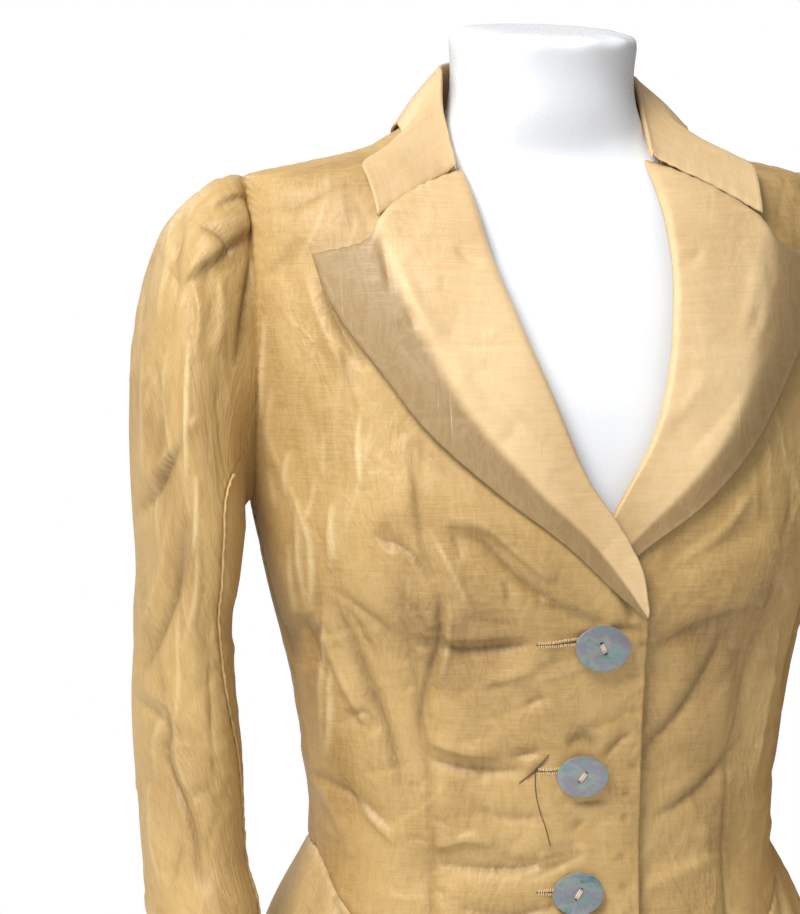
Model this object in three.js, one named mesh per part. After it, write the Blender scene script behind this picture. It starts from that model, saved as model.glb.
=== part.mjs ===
// A fitted jacket of crinkled taffeta with a peaked lapel, a folded collar, puffed and pleated sleeves and a
// flared peplum, closed with two-hole shell buttons. It stands on a limbless torso form.
// Millimetres, +Z up, the wearer faces -Y and the wearer's right is at -X. The origin is the middle of the base.
import * as THREE from "three";

// Cloth
const CLOTH = 1.4; // thickness of every cloth wall
const SEAM_GAP = 0.7; // between two pieces that are sewn together
const LAP = 2.6; // how far each front moves off the body where the right one laps over the left
const SQUARENESS = 0.9; // 1 gives elliptical sections, less gives flatter fronts and sides
const RIGHT = -1;
const LEFT = 1;

// Bust: two soft mounds on the sections, each at this turn from the centre front
const BUST = { turn: 38, z: 455, rise: 9, wide: 21, high: 42 };

// Body of the jacket: horizontal sections. front and back are depths from the widest line, at y = middle.
const BODY = [
  { z: 195, half: 147, front: 102, back: 102, middle: 0 },
  { z: 250, half: 135, front: 96, back: 95, middle: 0 },
  { z: 300, half: 124, front: 91, back: 88, middle: 0 },
  { z: 320, half: 124, front: 91, back: 87, middle: 0 },
  { z: 345, half: 126.5, front: 93, back: 88, middle: 0 },
  { z: 392, half: 134, front: 98, back: 92, middle: 0 },
  { z: 440, half: 146, front: 108, back: 98, middle: 0 },
  { z: 484, half: 155, front: 109, back: 102, middle: 2 },
  { z: 530, half: 161, front: 104, back: 105, middle: 4 },
  { z: 580, half: 165, front: 92, back: 104, middle: 6 },
  { z: 620, half: 165, front: 77, back: 98, middle: 8 },
  { z: 640, half: 163, front: 64, back: 90, middle: 8 },
  { z: 650, half: 159, front: 54, back: 82, middle: 8 },
  { z: 658, half: 128, front: 45, back: 76, middle: 8 },
  { z: 665, half: 96, front: 39, back: 70, middle: 8 },
  { z: 673, half: 80, front: 33, back: 64, middle: 8 },
  { z: 681, half: 68, front: 29, back: 59, middle: 8 },
  { z: 692, half: 60, front: 26, back: 54, middle: 8 },
];

// Torso form, from its flat base to the top of its neck
const FORM = [
  { z: 0, half: 138, front: 86, back: 92, middle: 0 },
  { z: 40, half: 150, front: 93, back: 100, middle: 0 },
  { z: 90, half: 155, front: 95, back: 104, middle: 0 },
  { z: 140, half: 152, front: 94, back: 102, middle: 0 },
  { z: 195, half: 137, front: 91, back: 93, middle: 0 },
  { z: 250, half: 125, front: 86, back: 86, middle: 0 },
  { z: 305, half: 116, front: 82, back: 79, middle: 0 },
  { z: 345, half: 118, front: 84, back: 80, middle: 0 },
  { z: 392, half: 126, front: 89, back: 84, middle: 0 },
  { z: 440, half: 138, front: 98, back: 90, middle: 0 },
  { z: 484, half: 147, front: 100, back: 94, middle: 2 },
  { z: 530, half: 153, front: 96, back: 98, middle: 4 },
  { z: 580, half: 157, front: 84, back: 97, middle: 6 },
  { z: 620, half: 157, front: 69, back: 91, middle: 8 },
  { z: 640, half: 153, front: 56, back: 82, middle: 8 },
  { z: 648, half: 144, front: 49, back: 76, middle: 7 },
  { z: 655, half: 112, front: 43, back: 69, middle: 5 },
  { z: 662, half: 82, front: 40, back: 62, middle: 4 },
  { z: 671, half: 60, front: 40, back: 56, middle: 2 },
  { z: 684, half: 51, front: 43, back: 52, middle: 0 },
  { z: 700, half: 48, front: 45, back: 50, middle: 0 },
  { z: 716, half: 49, front: 48, back: 50, middle: -1 },
  { z: 730, half: 50.5, front: 51, back: 51, middle: -3 },
];
const NECK_SLANT = 0.16; // the top of the neck falls towards the front
const NECK_SLANT_FROM = 700;
const FORM_SIDES = 24;

// Turn is the angle round the body, 0 at the side, 90 at the centre front, -90 at the centre back.
const SIDE_SEAM_TURN = 3;
const CENTRE_BACK_TURN = -90;
const FRONT_EDGE = 25.5; // how far each front goes past the centre front
const WAIST_SEAM = [
  { turn: -95, z: 306 },
  { turn: -40, z: 304 },
  { turn: 0, z: 301 },
  { turn: 24, z: 277 },
  { turn: 60, z: 240 },
  { turn: 112, z: 207 },
];

// Armhole: way goes from the shoulder point (0) down the front to the armpit (180) and up the back (360).
const ARMHOLE = [
  { way: 0, turn: 1, z: 650 },
  { way: 25, turn: 8, z: 644 },
  { way: 50, turn: 14, z: 626 },
  { way: 80, turn: 16.5, z: 590 },
  { way: 110, turn: 15, z: 555 },
  { way: 140, turn: 9, z: 518 },
  { way: 165, turn: 3, z: 491 },
  { way: 180, turn: -2, z: 484 },
  { way: 195, turn: -8, z: 490 },
  { way: 220, turn: -15, z: 518 },
  { way: 250, turn: -18, z: 560 },
  { way: 280, turn: -17.5, z: 600 },
  { way: 310, turn: -13, z: 630 },
  { way: 340, turn: -5, z: 646 },
  { way: 360, turn: 1, z: 650 },
];
const ARMPIT_V = 0.46; // share of a panel's height at which its side boundary reaches the armpit

// Centre boundary of a front: its straight edge, then the lapel's fold up to the neck. x is past the centre.
// The left front hangs a little lower and more open than the right one.
const FRONT_LINE_RIGHT = [
  { v: 0, x: FRONT_EDGE, z: 208 },
  { v: 0.42, x: FRONT_EDGE, z: 412 },
  { v: 0.46, x: 24.5, z: 431 },
  { v: 0.51, x: 15.5, z: 457 },
  { v: 0.54, x: 7.5, z: 472 },
  { v: 0.59, x: -9.5, z: 497 },
  { v: 0.65, x: -24, z: 535 },
  { v: 0.71, x: -37.5, z: 571 },
  { v: 0.78, x: -49, z: 606 },
  { v: 0.85, x: -56.5, z: 640 },
  { v: 0.91, x: -62, z: 663 },
  { v: 1, x: -63, z: 688 },
];
const FRONT_LINE_LEFT = [
  { v: 0, x: FRONT_EDGE, z: 208 },
  { v: 0.42, x: FRONT_EDGE, z: 402 },
  { v: 0.46, x: 24.5, z: 418 },
  { v: 0.51, x: 10, z: 443 },
  { v: 0.54, x: 0, z: 460 },
  { v: 0.59, x: -15, z: 487 },
  { v: 0.65, x: -37, z: 526 },
  { v: 0.71, x: -47.5, z: 569 },
  { v: 0.78, x: -51.5, z: 606 },
  { v: 0.85, x: -53, z: 640 },
  { v: 0.91, x: -57, z: 664 },
  { v: 1, x: -63, z: 688 },
];

// Lapel: u goes from the break (0) up to the seam with the collar (1), from the fold to the outer edge
const LAPEL_FOLD_RIGHT = [
  { u: 0, x: 24.5, z: 431 },
  { u: 0.12, x: 15.5, z: 457 },
  { u: 0.19, x: 7.5, z: 472 },
  { u: 0.31, x: -9.5, z: 497 },
  { u: 0.48, x: -24, z: 535 },
  { u: 0.65, x: -37.5, z: 571 },
  { u: 0.83, x: -50.5, z: 612 },
  { u: 1, x: -57.5, z: 653 },
];
const LAPEL_FOLD_LEFT = [
  { u: 0, x: 24.5, z: 418 },
  { u: 0.12, x: 10, z: 443 },
  { u: 0.19, x: 0, z: 460 },
  { u: 0.31, x: -15, z: 487 },
  { u: 0.48, x: -37, z: 526 },
  { u: 0.65, x: -48, z: 571 },
  { u: 0.83, x: -52, z: 611 },
  { u: 1, x: -50, z: 658 },
];
const LAPEL_EDGE_RIGHT = [
  { u: 0, x: 23.5, z: 427 },
  { u: 0.1, x: 5, z: 443 },
  { u: 0.2, x: -18, z: 464 },
  { u: 0.35, x: -53, z: 491 },
  { u: 0.5, x: -83, z: 519.5 },
  { u: 0.65, x: -104, z: 550 },
  { u: 0.8, x: -120, z: 574.5 },
  { u: 0.9, x: -127.5, z: 591 },
  { u: 1, x: -132, z: 609 },
];
const LAPEL_EDGE_LEFT = [
  { u: 0, x: 23.5, z: 414 },
  { u: 0.1, x: 5, z: 434 },
  { u: 0.2, x: -18, z: 457 },
  { u: 0.35, x: -53, z: 482 },
  { u: 0.5, x: -83, z: 511 },
  { u: 0.65, x: -105, z: 543 },
  { u: 0.8, x: -121, z: 570 },
  { u: 0.9, x: -129, z: 588 },
  { u: 1, x: -133, z: 607 },
];
const LAPEL_TOP_RIGHT = [
  { w: 0, x: -57.5, z: 653 },
  { w: 0.17, x: -70.5, z: 645.5 },
  { w: 0.32, x: -82, z: 639 },
  { w: 0.47, x: -94, z: 631 },
  { w: 0.56, x: -100.5, z: 624.5 },
  { w: 0.66, x: -106, z: 615 },
  { w: 0.78, x: -113, z: 612 },
  { w: 1, x: -132, z: 609 },
];
const LAPEL_TOP_LEFT = [
  { w: 0, x: -50, z: 658 },
  { w: 0.17, x: -63.5, z: 649.5 },
  { w: 0.32, x: -77, z: 641.5 },
  { w: 0.47, x: -91.5, z: 632 },
  { w: 0.56, x: -99.5, z: 625.5 },
  { w: 0.66, x: -106, z: 615.5 },
  { w: 0.78, x: -113, z: 611 },
  { w: 1, x: -133, z: 607 },
];
// Height of the middle of the lapel above the middle of its front, across its width; past the fold it turns in.
const LAPEL_RISE = [
  { w: 0, past: 2.6, rise: 0.4 },
  { w: 0.045, past: 3.2, rise: 2.6 },
  { w: 0.135, past: 0, rise: 3.8 },
  { w: 0.4, past: 0, rise: 6.5 },
  { w: 0.66, past: 0, rise: 9.5 },
  { w: 1, past: 0, rise: 6 },
];

const LAPEL_FLAT = 2.5; // height over its front where the lapel lies flat, near its lower end
const LAPEL_CROWDING = 1.6; // over 1 sets the wall's columns closer beside the fold

// Collar: way goes from the centre back (0) to the seam with the lapel (1) along three lines
const COLLAR_LEAF_RIGHT = [
  { way: 0, turn: -90, z: 666, height: 5 },
  { way: 0.2, turn: -64, z: 666, height: 5 },
  { way: 0.4, turn: -36, z: 672, height: 3.5 },
  { way: 0.55, turn: -8, z: 677, height: 3 },
  { way: 0.66, turn: 17, z: 673.5, height: 3.5 },
  { way: 0.75, turn: 37, z: 664, height: 5 },
  { way: 0.83, turn: 49, z: 654.5, height: 6.5 },
  { way: 0.91, turn: 53, z: 642, height: 7 },
  { way: 1, turn: 54.6, z: 626.5, height: 8 },
];
const COLLAR_LEAF_LEFT = [
  { way: 0, turn: -90, z: 666, height: 5 },
  { way: 0.2, turn: -64, z: 666, height: 5 },
  { way: 0.4, turn: -36, z: 668, height: 5 },
  { way: 0.55, turn: -8, z: 673, height: 5 },
  { way: 0.66, turn: 16, z: 673.5, height: 5.5 },
  { way: 0.75, turn: 41, z: 665, height: 7 },
  { way: 0.83, turn: 50, z: 655, height: 7.5 },
  { way: 0.91, turn: 53.2, z: 642, height: 7.5 },
  { way: 1, turn: 54.6, z: 628.5, height: 8 },
];
const COLLAR_FOLD_RIGHT = [
  { way: 0, x: 0, y: 61, z: 717 },
  { way: 0.3, x: 30, y: 53, z: 715 },
  { way: 0.5, x: 47, y: 32, z: 711 },
  { way: 0.68, x: 53, y: 8, z: 706 },
  { way: 0.84, x: 58, y: -16, z: 683 },
  { way: 1, x: 58.5, y: -45, z: 657 },
];
const COLLAR_FOLD_LEFT = [
  { way: 0, x: 0, y: 61, z: 717 },
  { way: 0.3, x: 30, y: 53, z: 715 },
  { way: 0.5, x: 47, y: 32, z: 711 },
  { way: 0.68, x: 54, y: 8, z: 705 },
  { way: 0.84, x: 51.5, y: -15, z: 685 },
  { way: 1, x: 48.5, y: -40, z: 664 },
];
const COLLAR_FOOT_RIGHT = [
  { way: 0, x: 0, y: 69, z: 684 },
  { way: 0.3, x: 36, y: 60, z: 688 },
  { way: 0.5, x: 55, y: 33, z: 690 },
  { way: 0.68, x: 61.5, y: 8, z: 691 },
  { way: 0.84, x: 63, y: -13, z: 676 },
  { way: 1, x: 62, y: -34, z: 662 },
];
const COLLAR_FOOT_LEFT = [
  { way: 0, x: 0, y: 69, z: 684 },
  { way: 0.3, x: 36, y: 60, z: 688 },
  { way: 0.5, x: 55, y: 33, z: 690 },
  { way: 0.68, x: 61.5, y: 8, z: 691 },
  { way: 0.84, x: 59.5, y: -13, z: 679 },
  { way: 1, x: 52, y: -30, z: 669 },
];
const COLLAR_ROLL = 3; // radius of the folded edge

// Sleeve below the armpit: horizontal sections about x, y
const SLEEVE = [
  { z: 470, x: 188, y: 8, half: 27.5, deep: 61 },
  { z: 445, x: 189, y: 9, half: 25.2, deep: 58 },
  { z: 422, x: 191.9, y: 8, half: 23.7, deep: 56 },
  { z: 388, x: 192.1, y: 5, half: 25.2, deep: 55 },
  { z: 353, x: 190.8, y: 0, half: 26.6, deep: 54 },
  { z: 302, x: 189.3, y: -10, half: 25.1, deep: 52 },
  { z: 276, x: 187.5, y: -22, half: 28.2, deep: 50 },
  { z: 200, x: 190.5, y: -40, half: 27, deep: 46 },
  { z: 130, x: 192, y: -54, half: 27, deep: 42 },
  { z: 70, x: 190, y: -64, half: 28, deep: 39 },
];
const CAP_V = 0.34; // share of the sleeve's length from the armhole to the first of those sections
const SLEEVE_OFF_BODY = 1.9; // the sleeve's edge stands this far out of the middle of the body's cloth
// Head of the sleeve: how far it springs out of the armhole and drops there, its fullness to the front and the
// back, and how far the curve rises over the first section and bulges out, at the top and at the armpit
const HEAD = {
  springs_top: 42,
  springs_armpit: 8,
  drop_top: 28,
  drop_armpit: 5,
  fullness: 8,
  rise_top: 150,
  rise_armpit: 6,
  bulge: 10,
};
// Seams between the top and the under sleeve, as angles round the sleeve: 0 outside, 90 front, 180 inside
const SLEEVE_SEAMS = [
  { v: 0, fore: 124, hind: 262 },
  { v: 0.1, fore: 138, hind: 262 },
  { v: 0.22, fore: 126, hind: 262 },
  { v: CAP_V, fore: 106, hind: 262 },
  { v: 0.45, fore: 118, hind: 262 },
  { v: 0.55, fore: 140, hind: 260 },
  { v: 0.64, fore: 150, hind: 258 },
  { v: 1, fore: 140, hind: 255 },
];
// Tucks in the sleeve's head: the angle of each fold, its height, how far it reaches down the sleeve
const TUCKS = [
  { angle: 22, rise: 3.5, reach: 0.1 },
  { angle: 45, rise: 4.5, reach: 0.16 },
  { angle: 338, rise: 3.5, reach: 0.1 },
  { angle: 315, rise: 4.5, reach: 0.16 },
];
const TUCK_WIDTH = 11;

// Peplum: it springs out below the waist seam and hangs in soft flutes
const HEM_Z = 128;
const PEPLUM_SPREAD = 52;
const PEPLUM_FALL = 95; // over this drop most of the spread is reached
const FLUTE = { height: 6, apart: 21, full_at: 70, calm_within: 13, full_from: 27 };

// Broad folds of the right front, from one end to the other
const FRONT_FOLDS = [
  { x0: -92, z0: 414, x1: -32, z1: 414, depth: -2.5, wide: 10 },
  { x0: -80, z0: 354, x1: -30, z1: 347, depth: -2.5, wide: 10 },
  { x0: -77, z0: 300, x1: -14, z1: 306, depth: -2.5, wide: 10 },
  { x0: -74, z0: 468, x1: -42, z1: 457, depth: -3.5, wide: 9 },
  { x0: -42, z0: 457, x1: -3, z1: 437, depth: -2.5, wide: 9 },
  { x0: -99, z0: 436, x1: -89, z1: 396, depth: -2.5, wide: 8 },
  { x0: -89, z0: 396, x1: -79, z1: 240, depth: -2, wide: 8 },
];
const FOLD_END = 14; // a fold fades over this length past its ends

// Buttons, on the centre front of the right front
const BUTTONS = [
  { name: "button_1", x: 1.5, z: 414, wide: 29, high: 23.5, slant: -8, tilt: 4, lean: -5 },
  { name: "button_2", x: -6, z: 347, wide: 26.5, high: 21, slant: -2, tilt: -3, lean: 5 },
  { name: "button_3", x: -7.5, z: 286, wide: 26.5, high: 21.5, slant: 3, tilt: 0, lean: 3 },
];
const BUTTON = { thick: 2.4, bevel: 0.6, hole: 1.1, holes_apart: 4.6, hole_angle: 55, sides: 20, off: 1.4 };

const COLOURS = { cloth: "#cfa768", lapel: "#e2c28d", form: "#f2f2f0", shell: "#8b9b9c" };

const finish = (colour, roughness) =>
  new THREE.MeshStandardMaterial({ color: colour, roughness, metalness: 0, side: THREE.DoubleSide });
const MATERIALS = {
  cloth: finish(COLOURS.cloth, 0.5),
  lapel: finish(COLOURS.lapel, 0.45),
  form: finish(COLOURS.form, 0.25),
  shell: finish(COLOURS.shell, 0.3),
};

const UP = new THREE.Vector3(0, 0, 1);
const rad = (degrees) => (degrees * Math.PI) / 180;
const mix = (a, b, t) => a + (b - a) * t;
const ease = (a, b, t) => {
  const s = Math.min(1, Math.max(0, (t - a) / (b - a)));
  return s * s * (3 - 2 * s);
};
const bell = (distance, width) => Math.exp(-((distance / width) ** 2));

// A column of a table at a place between its rows, on a smooth curve that never overshoots a row.
function read(table, key, at, column) {
  const n = table.length;
  const up = table[n - 1][key] > table[0][key] ? 1 : -1;
  const k = table.map((row) => up * row[key]);
  const y = table.map((row) => row[column]);
  const x = Math.min(k[n - 1], Math.max(k[0], up * at));
  let i = 0;
  while (i < n - 2 && x > k[i + 1]) i++;
  const slope = (j) => (y[j + 1] - y[j]) / (k[j + 1] - k[j]);
  const tangent = (j) => {
    if (j === 0) return slope(0);
    if (j === n - 1) return slope(n - 2);
    const a = slope(j - 1);
    const b = slope(j);
    return a * b <= 0 ? 0 : (2 * a * b) / (a + b);
  };
  const h = k[i + 1] - k[i];
  const t = (x - k[i]) / h;
  const t2 = t * t;
  const t3 = t2 * t;
  return (
    y[i] * (2 * t3 - 3 * t2 + 1) +
    y[i + 1] * (3 * t2 - 2 * t3) +
    tangent(i) * h * (t3 - 2 * t2 + t) +
    tangent(i + 1) * h * (t3 - t2)
  );
}

const power = (value, exponent) => Math.sign(value) * Math.abs(value) ** exponent;

// A point of a table of sections, at a turn round it and a height. side is -1 on the wearer's right.
function sectionPoint(table, side, turn, z) {
  const across = power(Math.cos(rad(turn)), SQUARENESS);
  const along = power(Math.sin(rad(turn)), SQUARENESS);
  const depth = read(table, "z", z, along > 0 ? "front" : "back");
  const fromFront = Math.abs(90 - Math.abs(turn));
  const mound = turn > 0 ? BUST.rise * bell(fromFront - BUST.turn, BUST.wide) * bell(z - BUST.z, BUST.high) : 0;
  return new THREE.Vector3(
    side * read(table, "z", z, "half") * across,
    read(table, "z", z, "middle") - depth * along - mound,
    z,
  );
}

const STEP = 0.5;

// A point that stands off the body's surface by a height, square to it.
function bodyPoint(side, turn, z, height) {
  const here = sectionPoint(BODY, side, turn, z);
  const round = sectionPoint(BODY, side, turn + STEP, z).sub(sectionPoint(BODY, side, turn - STEP, z));
  const up = sectionPoint(BODY, side, turn, z + STEP).sub(sectionPoint(BODY, side, turn, z - STEP));
  const out = up.cross(round).multiplyScalar(side).normalize();
  return here.addScaledVector(out, height);
}

// The turn at which the section at z has this x on the wearer's right; past the centre front it is over 90.
function turnAt(x, z) {
  const share = Math.min(1, Math.abs(x) / read(BODY, "z", z, "half"));
  const turn = (Math.acos(share ** (1 / SQUARENESS)) * 180) / Math.PI;
  return x > 0 ? 180 - turn : turn;
}

// The wearer's right and left have tables of their own where the jacket hangs unevenly.
const onSide = (side, right, left) => (side === RIGHT ? right : left);

// The lapped part of the fronts: 0 away from the centre, 1 where they lie on each other.
const lapped = (turn) => ease(70, 82, turn);

function foldRelief(x, z) {
  let sum = 0;
  for (const fold of FRONT_FOLDS) {
    const dx = fold.x1 - fold.x0;
    const dz = fold.z1 - fold.z0;
    const long = Math.hypot(dx, dz);
    const along = ((x - fold.x0) * dx + (z - fold.z0) * dz) / long;
    const off = ((z - fold.z0) * dx - (x - fold.x0) * dz) / long;
    const past = Math.max(0, -along, along - long);
    sum += fold.depth * bell(off, fold.wide) * bell(past, FOLD_END);
  }
  return sum;
}

// Turn and height of a point of a panel that is bounded by its side and armhole, its shoulder seam and its
// centre line. u goes from the side to the centre, v from the waist seam to the shoulder.
function panelPlace(side, u, v, isFront) {
  const armhole = Math.max(0, (v - ARMPIT_V) / (1 - ARMPIT_V));
  const way = isFront ? mix(180, 0, armhole) : mix(180, 360, armhole);
  const seamZ = read(WAIST_SEAM, "turn", SIDE_SEAM_TURN, "z");
  const edge =
    v < ARMPIT_V
      ? {
          turn: mix(SIDE_SEAM_TURN, ARMHOLE[7].turn, v / ARMPIT_V),
          z: mix(seamZ, ARMHOLE[7].z, v / ARMPIT_V),
        }
      : { turn: read(ARMHOLE, "way", way, "turn"), z: read(ARMHOLE, "way", way, "z") };
  const centre = isFront ? frontLine(side, v) : backLine(v);
  const turn = mix(edge.turn, centre.turn, u);
  const bottom = mix(seamZ, centre.bottomZ, u);
  const z = mix(edge.z, centre.z, u) + (1 - v) ** 3 * (read(WAIST_SEAM, "turn", turn, "z") - bottom);
  return { turn, z };
}

function frontLine(side, v) {
  const line = onSide(side, FRONT_LINE_RIGHT, FRONT_LINE_LEFT);
  const x = read(line, "v", v, "x");
  const z = read(line, "v", v, "z");
  return { turn: turnAt(x, z), z, bottomZ: line[0].z };
}

// Centre back seam, then the back neck from it to the shoulder
const BACK_NECK = [
  { v: 0, turn: CENTRE_BACK_TURN, z: 306 },
  { v: ARMPIT_V, turn: CENTRE_BACK_TURN, z: 490 },
  { v: 0.86, turn: CENTRE_BACK_TURN, z: 680 },
  { v: 1, turn: 0, z: 688 },
];
function backLine(v) {
  return {
    turn: read(BACK_NECK, "v", v, "turn"),
    z: read(BACK_NECK, "v", v, "z"),
    bottomZ: BACK_NECK[0].z,
  };
}

// A closed wall of cloth round a surface(u, v), with u and v from 0 to 1. Its edges stop short of the seams.
function wall(columns, rows, surface, thick = CLOTH, gap = SEAM_GAP) {
  const inset = (a, b) => Math.min(0.4, gap / 2 / a.distanceTo(b));
  // One column more at each side gives both pieces of a seam the same slope there.
  const middle = [];
  for (let i = -1; i <= columns + 1; i++) {
    middle.push([]);
    for (let j = 0; j <= rows; j++) middle[i + 1].push(surface(i / columns, j / rows));
  }
  const at = (i, j) => middle[i + 1][j];
  const inward = (i, j) => {
    const p = at(i, j).clone();
    if (i === 0) p.lerp(at(1, j), inset(p, at(1, j)));
    if (i === columns) p.lerp(at(columns - 1, j), inset(p, at(columns - 1, j)));
    if (j === 0) p.lerp(at(i, 1), inset(p, at(i, 1)));
    if (j === rows) p.lerp(at(i, rows - 1), inset(p, at(i, rows - 1)));
    return p;
  };
  const normalAt = (i, j) => {
    const across = at(i + 1, j).clone().sub(at(i - 1, j));
    const along = at(i, Math.min(rows, j + 1)).clone().sub(at(i, Math.max(0, j - 1)));
    return across.cross(along).normalize();
  };
  const positions = [];
  for (const sign of [1, -1])
    for (let i = 0; i <= columns; i++)
      for (let j = 0; j <= rows; j++)
        positions.push(...inward(i, j).addScaledVector(normalAt(i, j), (sign * thick) / 2).toArray());
  const layer = (columns + 1) * (rows + 1);
  const index = (i, j, inner) => i * (rows + 1) + j + (inner ? layer : 0);
  const faces = [];
  const quad = (a, b, c, d) => faces.push(a, b, c, a, c, d);
  for (let i = 0; i < columns; i++)
    for (let j = 0; j < rows; j++) {
      quad(index(i, j), index(i + 1, j), index(i + 1, j + 1), index(i, j + 1));
      quad(index(i, j, 1), index(i, j + 1, 1), index(i + 1, j + 1, 1), index(i + 1, j, 1));
    }
  for (let i = 0; i < columns; i++) {
    quad(index(i, 0), index(i, 0, 1), index(i + 1, 0, 1), index(i + 1, 0));
    quad(index(i, rows), index(i + 1, rows), index(i + 1, rows, 1), index(i, rows, 1));
  }
  for (let j = 0; j < rows; j++) {
    quad(index(0, j), index(0, j + 1), index(0, j + 1, 1), index(0, j, 1));
    quad(index(columns, j), index(columns, j, 1), index(columns, j + 1, 1), index(columns, j + 1));
  }
  return solid(positions, faces);
}

// An indexed geometry, turned so that its faces point out.
function solid(positions, faces) {
  const corner = (k) => new THREE.Vector3().fromArray(positions, 3 * faces[k]);
  let volume = 0;
  for (let k = 0; k < faces.length; k += 3) volume += corner(k).dot(corner(k + 1).cross(corner(k + 2)));
  if (volume < 0)
    for (let k = 0; k < faces.length; k += 3) [faces[k], faces[k + 1]] = [faces[k + 1], faces[k]];
  const geometry = new THREE.BufferGeometry();
  geometry.setAttribute("position", new THREE.Float32BufferAttribute(positions, 3));
  geometry.setIndex(faces);
  geometry.computeVertexNormals();
  return geometry;
}

function frontSurface(side) {
  const laps = side === RIGHT ? LAP : -LAP;
  return (u, v) => {
    const { turn, z } = panelPlace(side, u, v, true);
    const x = sectionPoint(BODY, RIGHT, turn, z).x;
    return bodyPoint(side, turn, z, laps * lapped(turn) + (1 - lapped(turn)) * foldRelief(x, z));
  };
}

function backSurface(side) {
  return (u, v) => {
    const { turn, z } = panelPlace(side, u, v, false);
    return bodyPoint(side, turn, z, 0);
  };
}

function lapelSurface(side) {
  const laps = side === RIGHT ? LAP : -LAP;
  const foldLine = onSide(side, LAPEL_FOLD_RIGHT, LAPEL_FOLD_LEFT);
  const edgeLine = onSide(side, LAPEL_EDGE_RIGHT, LAPEL_EDGE_LEFT);
  const topLine = onSide(side, LAPEL_TOP_RIGHT, LAPEL_TOP_LEFT);
  const start = topLine[0];
  const end = topLine[topLine.length - 1];
  return (u, across) => {
    const w = Math.max(0, across) ** LAPEL_CROWDING;
    const fold = { x: read(foldLine, "u", u, "x"), z: read(foldLine, "u", u, "z") };
    const edge = { x: read(edgeLine, "u", u, "x"), z: read(edgeLine, "u", u, "z") };
    const atTop = u ** 5;
    const x = mix(fold.x, edge.x, w) + atTop * (read(topLine, "w", w, "x") - mix(start.x, end.x, w));
    const z = mix(fold.z, edge.z, w) + atTop * (read(topLine, "w", w, "z") - mix(start.z, end.z, w));
    const turn = turnAt(x, z);
    const rise = read(LAPEL_RISE, "w", w, "rise");
    const flat = Math.min(rise, LAPEL_FLAT);
    const lies = mix(LAPEL_FLAT, mix(flat, rise, ease(0.2, 0.55, u)), ease(0, 0.1, u));
    const point = bodyPoint(side, turn, z, laps * lapped(turn) + lies);
    point.x -= side * read(LAPEL_RISE, "w", w, "past") * ease(0, 0.1, u);
    return point;
  };
}

// The collar in section: the leaf, the rounded fold and the stand inside it. way is negative on the right.
function collarSurface(u, w) {
  const signed = Math.min(1, Math.max(-1, mix(-1, 1, u)));
  const way = Math.abs(signed);
  const side = Math.sign(signed) || 1;
  const line = (table) =>
    new THREE.Vector3(
      side * read(table, "way", way, "x"),
      read(table, "way", way, "y"),
      read(table, "way", way, "z"),
    );
  const onBody = (column) => read(onSide(side, COLLAR_LEAF_RIGHT, COLLAR_LEAF_LEFT), "way", way, column);
  const leaf = bodyPoint(side, onBody("turn"), onBody("z"), onBody("height"));
  const fold = line(onSide(side, COLLAR_FOLD_RIGHT, COLLAR_FOLD_LEFT));
  const foot = line(onSide(side, COLLAR_FOOT_RIGHT, COLLAR_FOOT_LEFT));
  const out = leaf.clone().sub(fold).setZ(0).normalize();
  const roll = COLLAR_ROLL * mix(1, 0.75, way);
  const outer = fold.clone().addScaledVector(out, roll);
  outer.z -= roll;
  const inner = fold.clone().addScaledVector(out, -0.2 * roll);
  inner.z -= 1.4 * roll;
  const fall = leaf.clone().lerp(outer, 0.5);
  fall.addScaledVector(out, 1.5);
  const section = new THREE.CatmullRomCurve3([leaf, fall, outer, fold, inner, foot], false, "centripetal");
  return section.getPoint(w);
}

function sleeveSection(side, angle, z) {
  const across = read(SLEEVE, "z", z, "half") * Math.cos(rad(angle));
  const deep = read(SLEEVE, "z", z, "deep") * Math.sin(rad(angle));
  return new THREE.Vector3(side * (read(SLEEVE, "z", z, "x") + across), read(SLEEVE, "z", z, "y") - deep, z);
}

// The sleeve's head springs out of the armhole and turns down into the first section of the arm.
function sleevePoint(side, angle, v) {
  if (v >= CAP_V) {
    const below = (v - CAP_V) / (1 - CAP_V);
    return sleeveSection(side, angle, mix(SLEEVE[0].z, SLEEVE[SLEEVE.length - 1].z, below));
  }
  const way = ((angle % 360) + 360) % 360;
  const turn = read(ARMHOLE, "way", way, "turn");
  const z = read(ARMHOLE, "way", way, "z");
  const start = bodyPoint(side, turn, z, SLEEVE_OFF_BODY);
  const out = bodyPoint(side, turn, z, SLEEVE_OFF_BODY + 1).sub(start);
  const top = (1 + Math.cos(rad(angle))) / 2;
  const springs = start.clone().addScaledVector(out, mix(HEAD.springs_armpit, HEAD.springs_top, top ** 1.2));
  springs.z -= mix(HEAD.drop_armpit, HEAD.drop_top, top ** 2);
  springs.y -= HEAD.fullness * Math.sin(rad(angle));
  const end = sleeveSection(side, angle, SLEEVE[0].z);
  const before = end.clone();
  before.z += mix(HEAD.rise_armpit, HEAD.rise_top, top);
  before.x += side * HEAD.bulge * top;
  const t = v / CAP_V;
  const curve = new THREE.CubicBezierCurve3(start, springs, before, end);
  const point = curve.getPoint(t);
  for (const tuck of TUCKS) {
    const off = Math.abs(((way - tuck.angle + 540) % 360) - 180);
    const swell = tuck.rise * bell(off, TUCK_WIDTH) * ease(0, 0.02, v) * bell(v, tuck.reach);
    point.z += swell * Math.cos(rad(way)) + swell * 0.4;
    point.y -= swell * Math.sin(rad(way));
  }
  return point;
}

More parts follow.
